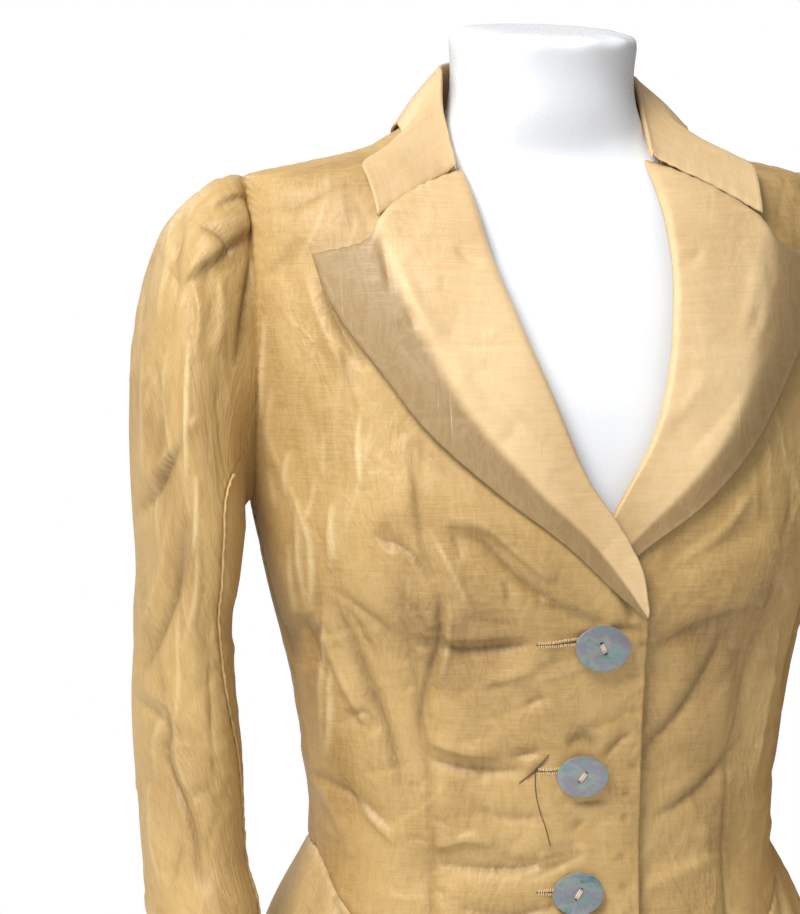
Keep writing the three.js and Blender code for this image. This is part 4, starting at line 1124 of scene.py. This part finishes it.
def peplum_surface(side, from_turn, to_turn, laps):
    def surface(u, v):
        turn = mix(from_turn, to_turn, u)
        seam_z = read(WAIST_SEAM, "turn", turn, "z")
        drop = v * (seam_z - HEM_Z)
        free = ease(FLUTE["calm_within"], FLUTE["full_from"], np.abs(90 - turn))
        spread = PEPLUM_SPREAD * (1 - np.exp(-drop / PEPLUM_FALL)) * mix(0.3, 1, free)
        wave = np.sin(np.radians(turn / FLUTE["apart"] * 360))
        flute = FLUTE["height"] * free * wave * ease(0, FLUTE["full_at"], drop)
        points = body_point(side, turn, seam_z, np.zeros(u.shape))
        level = unit(body_normal(side, turn, seam_z) * [1, 1, 0])
        points = points + level * (spread + flute + laps * lapped(turn))[..., None]
        points[..., 2] -= drop
        x = -np.abs(points[..., 0]) if to_turn < 90 else own_x(side, points)
        relief, pale, dark = creased(PEPLUM_CREASES + PEPLUM_CRINKLES, x, points[..., 2])
        relief = np.where(turn > EDGE_TURN, np.clip(relief, *PEPLUM_RELIEF), relief) * ease(0, 0.03, v)
        uv = np.stack([np.radians(turn) * WEAVE_RADIUS * (1 + drop / 300), -drop], -1)
        return points, relief, pale + PEPLUM_PALE, TROUGH_SHADE * dark, uv

    return surface


# Colours, as linear red, green and blue
def shade(hex_code):
    """A colour written as six hex digits, in linear light."""
    parts = [int(hex_code[i : i + 2], 16) / 255 for i in (0, 2, 4)]
    return tuple(c / 12.92 if c <= 0.04045 else ((c + 0.055) / 1.055) ** 2.4 for c in parts) + (1.0,)


class Wire:
    """A socket that carries a number. Arithmetic on it adds Math nodes."""

    def __init__(self, finish, socket):
        self.finish, self.socket = finish, socket

    def _math(self, operation, a, b):
        return self.finish.node("Math", dict(operation=operation), {0: a, 1: b})

    def __add__(self, other):
        return self._math("ADD", self, other)

    def __sub__(self, other):
        return self._math("SUBTRACT", self, other)

    def __mul__(self, other):
        return self._math("MULTIPLY", self, other)

    def __rsub__(self, other):
        return self._math("SUBTRACT", other, self)

    __radd__ = __add__
    __rmul__ = __mul__


class Finish:
    """A material on a Principled shader. settings are the numbers and colours that are the same all over."""

    def __init__(self, name, **settings):
        self.material = bpy.data.materials.new(name)
        self.material.use_nodes = True
        self.tree = self.material.node_tree
        self.surface = self.tree.nodes["Principled BSDF"]
        for socket, value in settings.items():
            self.surface.inputs[socket.replace("_", " ")].default_value = value

    def node(self, kind, settings=None, sockets=None, out=0):
        """Adds a node, makes its settings, then fills its sockets, and returns one of its outputs."""
        added = self.tree.nodes.new("ShaderNode" + kind)
        for key, value in (settings or {}).items():
            if key == "stops":
                ramp = added.color_ramp.elements
                while len(ramp) < len(value):
                    ramp.new(0.5)
                for stop, (place, colour) in zip(ramp, value):
                    stop.position, stop.color = place, colour
            else:
                setattr(added, key, value)
        for key, value in (sockets or {}).items():
            self.fill(added.inputs[key], value)
        return Wire(self, added.outputs[out])

    def fill(self, socket, value):
        if isinstance(value, Wire):
            self.tree.links.new(value.socket, socket)
        else:
            socket.default_value = value

    def feed(self, **sockets):
        """Links what changes over the surface to the shader."""
        for name, wire in sockets.items():
            self.fill(self.surface.inputs[name.replace("_", " ")], wire)

    def stretched(self, vector, x, y, z=1.0):
        return self.node("VectorMath", dict(operation="MULTIPLY"), {0: vector, 1: (x, y, z)})

    def noise(self, vector, scale=1.0, detail=2.0, rough=0.5, distortion=0.0):
        sockets = {"Vector": vector, "Scale": scale, "Detail": detail}
        sockets.update({"Roughness": rough, "Distortion": distortion})
        return self.node("TexNoise", {}, sockets)

    def ramp(self, value, *stops):
        return self.node("ValToRGB", dict(stops=stops), {0: value})

    def span(self, value, low, high, to_low=0.0, to_high=1.0):
        sockets = {"Value": value, "From Min": low, "From Max": high}
        sockets.update({"To Min": to_low, "To Max": to_high})
        return self.node("MapRange", dict(interpolation_type="SMOOTHSTEP"), sockets)

    def blend(self, share, a, b):
        return self.node("Mix", dict(data_type="RGBA"), {0: share, 6: a, 7: b}, out=2)

    def bump(self, height, strength, distance, normal=None):
        sockets = {"Height": height, "Strength": strength, "Distance": distance}
        if normal:
            sockets["Normal"] = normal
        return self.node("Bump", {}, sockets)


def taffeta(name, dark, middle, light, pale, shade_strip, crinkle):
    """Slubbed silk: thick and thin ribs across it, fine pale streaks along it, which are partly its pale warp
    and partly painted sheen, and sharp little creases whose crests get a little painted highlight. A tone,
    mostly painted shade, blends in the dark strip colour, and a streak or a painted highlight on a crest the
    pale one."""
    cloth = Finish(name, Sheen_Weight=0.1, Sheen_Roughness=0.35, Specular_IOR_Level=0.4, Metallic=0.05)
    cloth.surface.inputs["Sheen Tint"].default_value = shade("FFE9C2")
    uv = cloth.node("UVMap", dict(uv_map="cloth"))
    waver = cloth.noise(uv, 26, 2)
    ribs = cloth.noise(cloth.stretched(uv, 62, 1150), 1, 3, 0.6, 0.1)
    slubs = cloth.noise(cloth.stretched(uv, 28, 420), 1, 2, 0.55)
    warp = cloth.noise(cloth.stretched(uv, 900, 16), 1, 2, 0.5, 0.15)
    clouds = cloth.noise(cloth.stretched(uv, 17, 11), 1, 3, 0.55, 0.5)
    bent = cloth.noise(cloth.stretched(uv, 110, 46), 1, 3, 0.6, 1.6)
    folds = cloth.noise(cloth.stretched(uv, 44, 24), 1, 2, 0.5, 1.3)
    sharp = 1 - cloth.span(cloth.node("Math", dict(operation="ABSOLUTE"), {0: bent - 0.5}), 0.0, 0.11)
    soft = 1 - cloth.span(cloth.node("Math", dict(operation="ABSOLUTE"), {0: folds - 0.5}), 0.0, 0.16)
    # Pale streaks: partly the pale warp, partly painted sheen along fine ridges
    streaks = cloth.span(warp, 0.66, 0.8) * cloth.span(clouds, 0.46, 0.62)
    value = clouds * 0.6 + ribs * 0.24 + slubs * 0.1 + waver * 0.1
    colour = cloth.ramp(value, (0.34, dark), (0.52, middle), (0.74, light))
    tone = cloth.node("Attribute", dict(attribute_name="tone"), out=2)
    marked = cloth.node("Attribute", dict(attribute_name="pale"), out=2)
    # Painted shade: the tone attribute blends in the dark strip colour
    colour = cloth.blend(tone, colour, shade_strip)
    # Painted highlight: streaks, the crests of the sharp crinkles and the marked crests blend toward the pale
    # colour
    lifted = streaks * 0.35 + sharp * (0.1 * crinkle) + marked * (ribs * 0.5 + 0.35)
    colour = cloth.blend(cloth.node("Clamp", {}, {0: lifted}), colour, pale)
    weave = cloth.bump(ribs * 0.6 + slubs * 0.4 + warp * 0.25, 0.4, 0.00035)
    rumpled = cloth.span(cloth.noise(cloth.stretched(uv, 14, 9), 1, 1), 0.42, 0.62, 0.2, 1.0)
    creases = cloth.bump((sharp * 0.25 + soft * 0.8) * rumpled, 0.3 * crinkle, 0.0012, weave)
    cloth.feed(Base_Color=colour, Roughness=cloth.span(ribs, 0.3, 0.7, 0.44, 0.58), Normal=creases)
    return cloth.material


def form_plastic():
    """Smooth white plastic with the faint waviness of a moulded shell."""
    skin = Finish(
        "white_form_plastic", Roughness=0.3, Specular_IOR_Level=0.45, Coat_Weight=0.12, Coat_Roughness=0.25
    )
    place = skin.node("TexCoord", {}, out=3)
    waves = skin.noise(place, 14, 2)
    grain = skin.noise(place, 900, 2)
    colour = skin.blend(skin.span(waves, 0.35, 0.65), shade("DEE0E4"), shade("E6E7E8"))
    rough = skin.span(grain, 0.3, 0.7, 0.26, 0.36)
    skin.feed(Base_Color=colour, Roughness=rough, Normal=skin.bump(waves + grain * 0.02, 0.08, 0.002))
    return skin.material


def river_shell():
    """Grey shell whose layers catch pink, green and blue."""
    shell = Finish("grey_shell", Roughness=0.2, Specular_IOR_Level=0.6, Coat_Weight=0.4, Coat_Roughness=0.1)
    place = shell.node("TexCoord", {}, out=3)
    layers = shell.noise(shell.stretched(place, 50, 34, 84), 1, 3, 0.5, 0.5)
    patches = shell.noise(shell.stretched(place, 260, 90, 330), 1, 2, 0.5, 0.8)
    places = (0.3, 0.41, 0.48, 0.55, 0.63, 0.76)
    codes = ("45565E", "6C7F82", "7E8A84", "7C7482", "6D8783", "4F6A74")
    colour = shell.ramp(layers * 0.85 + patches * 0.2 - 0.02, *zip(places, map(shade, codes)))
    shell.feed(Base_Color=colour, Normal=shell.bump(layers, 0.25, 0.0004))
    return shell.material


def sewing_thread(name, colour, light):
    """Twisted thread."""
    thread = Finish(name, Roughness=0.6, Sheen_Weight=0.3)
    place = thread.node("TexCoord", {}, out=3)
    twist = thread.noise(place, 2600, 2)
    mixed = thread.blend(twist, shade(colour), shade(light))
    thread.feed(Base_Color=mixed, Normal=thread.bump(twist, 0.5, 0.0002))
    return thread.material


def fresh():
    """Leaves edit mode and selects nothing."""
    if bpy.context.object and bpy.context.object.mode != "OBJECT":
        bpy.ops.object.mode_set(mode="OBJECT")
    bpy.ops.object.select_all(action="DESELECT")


def dressed(made, finish, slot, *nodes):
    """Gives a piece that isn't a sheet its finish, attaches it to the root, and hides the nodes that it
    stands for.
    """
    made.data.materials.clear()
    made.data.materials.append(finish)
    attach(made, "root")
    if nodes:
        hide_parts(*nodes)
    return made


def smooth_form():
    """The torso form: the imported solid's facets rounded into a shell with a crisp edge at its base."""
    fresh()
    solid = bpy.data.objects["form_torso"]
    made = bpy.data.objects.new("torso_form", solid.data.copy())
    bpy.context.scene.collection.objects.link(made)
    shape = bmesh.new()
    shape.from_mesh(made.data)
    bmesh.ops.remove_doubles(shape, verts=shape.verts, dist=1e-5)
    bmesh.ops.join_triangles(
        shape, faces=shape.faces, angle_face_threshold=0.9, angle_shape_threshold=3.1, cmp_seam=False
    )
    firm = shape.edges.layers.float.new("crease_edge")
    low = min(v.co.z for v in shape.verts)
    for edge in shape.edges:
        if all(abs(v.co.z - low) < 1e-4 and v.co.xy.length > 0.02 for v in edge.verts):
            edge[firm] = 0.85
    shape.to_mesh(made.data)
    shape.free()
    bpy.context.view_layer.objects.active = made
    made.select_set(True)
    rounding = made.modifiers.new("rounding", "SUBSURF")
    rounding.levels = rounding.render_levels = 3
    bpy.ops.object.modifier_apply(modifier=rounding.name)
    bpy.ops.object.shade_smooth()
    return dressed(made, form_plastic(), "form", "form_torso")


def settled(made):
    """Applies what the modifiers do, then the object's turn, size and place, to its mesh."""
    fresh()
    bpy.context.view_layer.objects.active = made
    made.select_set(True)
    for change in list(made.modifiers):
        bpy.ops.object.modifier_apply(modifier=change.name)
    bpy.ops.object.transform_apply(location=True, rotation=True, scale=True)


# Buttons: x and z on the wearer's right front, their sizes, and how they are turned
BUTTONS = table(
    "x z wide high slant tilt lean other_way",
    (1.5, 414, 29, 23.5, -8, 4, -5, 1),
    (-6, 347, 26.5, 21, -2, -3, 5, 0),
    (-7.5, 286, 26.5, 21.5, 3, 0, 3, 0),
)
BUTTON = dict(wide=26.5, high=21, thick=2.2, bevel=0.5, hole=1.15, holes_apart=4.6, hole_angle=55, off=1.4)
SOLID_CLOTH = 1.4  # thickness of the solids' walls
SHANK = 1.1  # half the length of the thread under a button
HOLE = dict(pitch=1.05, half_wide=1.15, stitch=(2.3, 0.85), slit_shadow=(4.0, 0.9))  # a buttonhole's stitches, and the dark stitches along its slit that paint the shadow in it
LOOSE_STITCH = (3.4, 0.55)
STRAND = dict(apart=0.75, past_hole=0.7, half_wide=0.42, half_high=0.62)  # the thread between two holes
THREAD_ENDS = (
    [(-36, 344), (-29, 350), (-23, 358)],
    [(-29, 350), (-29, 341), (-27, 331), (-24, 322), (-21, 311)],
)


def shell_disc():
    """The button that the others are copies of: an uneven oval disc with two holes."""
    fresh()
    thick = BUTTON["thick"] * MM
    bpy.ops.mesh.primitive_cylinder_add(vertices=72, radius=1, depth=thick)
    disc = bpy.context.object
    disc.scale = (BUTTON["wide"] / 2 * MM, BUTTON["high"] / 2 * MM, 1)
    settled(disc)
    rough = bpy.data.textures.new("uneven_edge", "CLOUDS")
    rough.noise_scale = 0.006
    chips = disc.modifiers.new("chips", "DISPLACE")
    chips.texture, chips.strength, chips.texture_coords = rough, 0.0011, "LOCAL"
    drills = []
    for angle in (BUTTON["hole_angle"], BUTTON["hole_angle"] + 180):
        away = BUTTON["holes_apart"] / 2 * MM
        place = (away * math.cos(math.radians(angle)), away * math.sin(math.radians(angle)), 0)
        wide = BUTTON["hole"] * MM
        bpy.ops.mesh.primitive_cylinder_add(vertices=20, radius=wide, depth=4 * thick, location=place)
        drills.append(bpy.context.object)
        hole = disc.modifiers.new("hole", "BOOLEAN")
        hole.operation, hole.object = "DIFFERENCE", drills[-1]
    edge = disc.modifiers.new("edge", "BEVEL")
    edge.width, edge.segments, edge.limit_method = BUTTON["bevel"] * MM, 3, "ANGLE"
    settled(disc)
    bpy.ops.object.shade_smooth_by_angle(angle=math.radians(35))
    for drill in drills:
        bpy.data.objects.remove(drill)
    return disc


def button_thread():
    """Strands of thread between a button's holes, and the shank of thread under it."""
    parts = []
    angle, half = math.radians(BUTTON["hole_angle"]), BUTTON["thick"] / 2
    for beside_middle in (-STRAND["apart"], 0, STRAND["apart"]):
        fresh()
        place = (-beside_middle * math.sin(angle) * MM, beside_middle * math.cos(angle) * MM, half * MM)
        bpy.ops.mesh.primitive_uv_sphere_add(
            segments=12, ring_count=8, radius=MM, location=place, rotation=(0, 0, angle)
        )
        long = BUTTON["holes_apart"] / 2 + STRAND["past_hole"]
        bpy.context.object.scale = (long, STRAND["half_wide"], STRAND["half_high"])
        parts.append(bpy.context.object)
    fresh()
    bpy.ops.mesh.primitive_cylinder_add(
        vertices=16, radius=1.5 * MM, depth=2 * SHANK * MM, location=(0, 0, -(half + SHANK - 0.3) * MM)
    )
    for part in parts:
        part.select_set(True)
    bpy.ops.object.join()
    made = bpy.context.object
    settled(made)
    bpy.ops.object.shade_smooth_by_angle(angle=math.radians(50))
    return made


def copied(original, name, matrix):
    """A copy with a mesh of its own, whose place is in its mesh."""
    made = original.copy()
    made.data = original.data.copy()
    made.name = name
    bpy.context.scene.collection.objects.link(made)
    made.matrix_world = matrix
    settled(made)
    return made


def on_front(x, z, above=0.0):
    """The place (x, z) on the cloth of the wearer's right front, and the way out of it."""
    x, z = np.array([[float(x)]]), np.array([[float(z)]])
    turn = turn_at(x, z)
    height, _, _ = creased(CHEST + PUCKERS + DART + FRONT_CRINKLES, x, z)
    height = np.where(turn > EDGE_TURN, np.clip(height, *EDGE_RELIEF[RIGHT]), height)
    relief = no_deeper(height + (1 - lapped(turn)) * fold_relief(x, z))
    out = body_normal(RIGHT, turn, z)
    place = body_point(RIGHT, turn, z, LAP * lapped(turn)) + out * (relief + CLOTH / 2 + above)[..., None]
    return Vector(place[0, 0]), Vector(out[0, 0])


def facing(place, out, along=None):
    """A matrix in metres whose Z is the way out and whose X is level, or follows along."""
    across = (along or Vector((0, 0, 1)).cross(out)).normalized()
    upright = out.cross(across).normalized()
    across = upright.cross(out)
    turned = Matrix((across, upright, out)).transposed().to_4x4()
    return Matrix.Translation(place * MM) @ turned


def sewn_buttons():
    disc, knot = shell_disc(), button_thread()
    shell, thread = river_shell(), sewing_thread("button_thread", "A88A72", "EAD6C4")
    rows = enumerate(zip(*BUTTONS.values()), 1)
    for number, (x, z, wide, high, slant, tilt, lean, other_way) in rows:
        turn = turn_at(x, z)
        out = Vector(body_normal(RIGHT, turn, z))
        above = LAP + SOLID_CLOTH / 2 + BUTTON["off"] + BUTTON["thick"] / 2
        seat = Vector(body_point(RIGHT, turn, z, above))
        place = facing(seat, out)
        for axis, angle in (("X", lean), ("Y", tilt), ("Z", slant)):
            place = place @ Matrix.Rotation(math.radians(angle), 4, axis)
        size = Matrix.Diagonal((wide / BUTTON["wide"], high / BUTTON["high"], 1, 1))
        name = "button_%d" % number
        turned_over = Matrix.Rotation(other_way * math.pi, 4, "X")
        crosswise = Matrix.Rotation(other_way * math.radians(180 - 2 * BUTTON["hole_angle"]), 4, "Z")
        dressed(copied(disc, name + "_shell", place @ size @ turned_over), shell, "shell", name)
        dressed(copied(knot, name + "_thread", place @ crosswise), thread, "taffeta")
    for original in (disc, knot):
        bpy.data.objects.remove(original)


def stitch(long, thick):
    """One stitch of thread, lying along X."""
    fresh()
    bpy.ops.mesh.primitive_uv_sphere_add(segments=8, ring_count=6, radius=MM)
    made = bpy.context.object
    made.scale = (long / 2, thick / 2, thick / 2)
    settled(made)
    bpy.ops.object.shade_smooth()
    return made


def joined(parts, name):
    fresh()
    for part in parts:
        part.select_set(True)
    bpy.context.view_layer.objects.active = parts[0]
    bpy.ops.object.join()
    parts[0].name = name
    return parts[0]


def buttonhole(number, start, end, thread, dark_thread):
    """Two rows of stitches, which spread towards the button, with dark stitches between them that paint the
    shadow in the slit.
    """
    short, slit_shadow = stitch(*HOLE["stitch"]), stitch(*HOLE["slit_shadow"])
    length = math.dist(start, end)
    slant = Vector(((end[0] - start[0]) / length, 0, (end[1] - start[1]) / length))
    stitches, dark = [], []
    count = int(length / HOLE["pitch"])
    dice = np.random.default_rng(80 + number)
    for index in range(count + 1):
        share = index / count
        for row in (-1, 1):
            x = mix(start[0], end[0], share) + dice.normal(0, 0.12)
            z = mix(start[1], end[1], share) + row * HOLE["half_wide"] * mix(0.6, 1.3, share)
            place, out = on_front(x, z, 0.12)
            along = Vector((0.25 * row, 0, 1)) + slant * dice.normal(0, 0.15)
            stitches.append(copied(short, "hole_stitch", facing(place, out, along)))
        place, out = on_front(mix(start[0], end[0], share), mix(start[1], end[1], share), 0.0)
        dark.append(copied(slit_shadow, "hole_slit", facing(place, out, slant)))
    name = "buttonhole_%d" % number
    dressed(joined(stitches, name + "_stitches"), thread, "taffeta")
    dressed(joined(dark, name + "_slit"), dark_thread, "taffeta")
    for original in (short, slit_shadow):
        bpy.data.objects.remove(original)


def loose_thread(dark_thread):
    """Two ends of dark thread left at the second buttonhole: a short one across it and one that hangs."""
    piece, laid = stitch(*LOOSE_STITCH), []
    for ends in THREAD_ENDS:
        path = smooth_path(ends)
        for a, b in zip(path, path[1:]):
            for share in (0, 0.5):
                (place, out), step = on_front(*mix(a, b, share), 0.3), b - a
                laid.append(copied(piece, "thread_end", facing(place, out, Vector((step[0], 0, step[1])))))
    dressed(joined(laid, "loose_thread"), dark_thread, "taffeta")
    bpy.data.objects.remove(piece)


sewn_buttons()
hole_thread = sewing_thread("buttonhole_thread", "A58450", "E6CC98")
# Dark thread: it paints the shadow in the buttonholes' slits, and it is the colour of the loose thread
shadow_and_loose_thread = sewing_thread("slit_shade", "4E3A20", "6B5230")
buttonhole(1, (-30.3, 415), (-8, 416.5), hole_thread, shadow_and_loose_thread)
buttonhole(2, (-27.3, 349.4), (-10, 349.7), hole_thread, shadow_and_loose_thread)
buttonhole(3, (-26.5, 287), (-12, 287), hole_thread, shadow_and_loose_thread)
loose_thread(shadow_and_loose_thread)

# The cloth
# The last colour of each taffeta is its strip colour, the dark colour of painted shade
TAFFETA = taffeta("golden_taffeta", *map(shade, ("937243", "B2915A", "C3A36B", "DFC898", "6C522E")), 1.0)
# Painted light: a lighter copy of the taffeta for the lapels and the collar, which catch more light and
# sheen. It has half the crinkle, as the cloth there is pressed flat.
LIT_TAFFETA = taffeta("lit_taffeta", *map(shade, ("C09F6E", "D2B384", "DFC496", "EEDDBA", "8B7048")), 0.5)

for side, word, fine in ((RIGHT, "right", 1.0), (LEFT, "left", 0.7)):
    chest = CHEST + PUCKERS + DART + FRONT_CRINKLES if side == RIGHT else LEFT_CHEST + DART + LEFT_CRINKLES
    cloth_sheet(
        "front_" + word, front_surface(side, chest), 165 * fine, 290 * fine, TAFFETA,
        sewn="left top bottom",
    )
    cloth_sheet(
        "back_" + word, back_surface(side, BACK_CREASES + BACK_CRINKLES), 84, 130, TAFFETA,
        sewn="left right top bottom",
    )
    cloth_sheet(
        "lapel_" + word, lapel_surface(side, LAPEL_CREASES + LAPEL_CRINKLES), 160 * fine, 56 * fine, LIT_TAFFETA,
        sewn="right",
    )
    for part, is_top, columns, flat, area in (
        ("sleeve_top_", True, 120, (0.24, 0.66), 0.11),
        ("sleeve_under_", False, 50, (0.13, 0.5), 0.055),
    ):
        cloth_sheet(
            part + word, sleeve_surface(side, is_top), columns * fine, 290 * fine, TAFFETA,
            sewn="left right", centre=(side * SLEEVE_CENTRE[0], SLEEVE_CENTRE[1]),
        )
    edge_turn = turn_at(FRONT_EDGE, FRONT_LINE[RIGHT]["z"][0])
    laps = LAP if side == RIGHT else -LAP
    cloth_sheet(
        "peplum_front_" + word, peplum_surface(side, SIDE_SEAM_TURN, edge_turn, laps), 120, 48, TAFFETA,
        sewn="left bottom",
    )
    cloth_sheet(
        "peplum_back_" + word, peplum_surface(side, CENTRE_BACK_TURN, SIDE_SEAM_TURN, 0), 116, 64, TAFFETA,
        sewn="left right bottom",
    )
cloth_sheet(
    "collar", collar_surface, 240, 60, LIT_TAFFETA,
    sewn="left right",
)
smooth_form()

# Floor, light and camera
fresh()
bpy.ops.mesh.primitive_circle_add(vertices=96, radius=1.2, fill_type="NGON", location=(0, 0, 0))
floor = bpy.context.object
floor.name = "floor"
pale_floor = Finish("pale_floor", Roughness=0.8)
patches = pale_floor.noise(pale_floor.node("TexCoord", {}, out=3), 3)
pale_floor.feed(Base_Color=pale_floor.blend(patches, shade("F4F3F1"), shade("FAFAF8")))
floor.data.materials.append(pale_floor.material)

# The light all round comes mostly from above and from the wearer's right. The camera sees white paper.
SKY = dict(from_way=(-0.62, -0.2, 0.76), least=0.05, most=0.72)
world = bpy.data.worlds.new("studio")
world.use_nodes = True
tree = world.node_tree
soft_light = tree.nodes["Background"]
ray = tree.nodes.new("ShaderNodeTexCoord")
towards_light = tree.nodes.new("ShaderNodeVectorMath")
towards_light.operation = "DOT_PRODUCT"
towards_light.inputs[1].default_value = SKY["from_way"]
strength = tree.nodes.new("ShaderNodeMapRange")
strength.inputs["From Min"].default_value = -1
strength.inputs["To Min"].default_value = SKY["least"]
strength.inputs["To Max"].default_value = SKY["most"]
tree.links.new(ray.outputs["Generated"], towards_light.inputs[0])
tree.links.new(towards_light.outputs["Value"], strength.inputs["Value"])
tree.links.new(strength.outputs["Result"], soft_light.inputs["Strength"])
paper = tree.nodes.new("ShaderNodeBackground")
paper.inputs["Color"].default_value = (1, 1, 1, 1)
seen = tree.nodes.new("ShaderNodeLightPath")
either = tree.nodes.new("ShaderNodeMixShader")
soft_light.inputs["Color"].default_value = (1, 1, 1, 1)
tree.links.new(seen.outputs["Is Camera Ray"], either.inputs[0])
tree.links.new(soft_light.outputs[0], either.inputs[1])
tree.links.new(paper.outputs[0], either.inputs[2])
tree.links.new(either.outputs[0], tree.nodes["World Output"].inputs["Surface"])
bpy.context.scene.world = world
bpy.context.scene.view_settings.view_transform = "Standard"


def softbox(name, place, aim, size, power):
    lamp = bpy.data.lights.new(name, "AREA")
    lamp.energy, lamp.shape, lamp.size = power, "SQUARE", size
    made = bpy.data.objects.new(name, lamp)
    bpy.context.scene.collection.objects.link(made)
    made.location = place
    made.rotation_euler = (Vector(aim) - Vector(place)).to_track_quat("-Z", "Y").to_euler()


softbox("key", (-1.1, -1.15, 1.95), (0, 0, 0.5), 0.9, 54)
softbox("rim", (-0.9, 1.5, 1.5), (0, 0, 0.5), 0.8, 8)

# The camera stands to the wearer's right, a little above the chest, and turns so that the target lies right
# of the picture's middle.
TARGET = Vector((0, 0, 0.503))
DISTANCE = 1.8
ELEVATION = math.radians(3)
FOCAL_PIXELS = 3384
IMAGE_WIDTH = 800
TARGET_PIXEL = 541  # how far across the picture the target lies
SENSOR = 36
forward = Vector(
    (
        math.sin(VIEW_TURN) * math.cos(ELEVATION),
        math.cos(VIEW_TURN) * math.cos(ELEVATION),
        -math.sin(ELEVATION),
    )
)
lens = bpy.data.cameras.new("camera")
lens.sensor_fit, lens.sensor_width = "HORIZONTAL", SENSOR
lens.lens = SENSOR * FOCAL_PIXELS / IMAGE_WIDTH
camera = bpy.data.objects.new("camera", lens)
bpy.context.scene.collection.objects.link(camera)
camera.location = TARGET - forward * DISTANCE
pan = math.atan((TARGET_PIXEL - IMAGE_WIDTH / 2) / FOCAL_PIXELS)
camera.rotation_euler = (Matrix.Rotation(pan, 3, "Z") @ forward).to_track_quat("-Z", "Y").to_euler()
bpy.context.scene.camera = camera
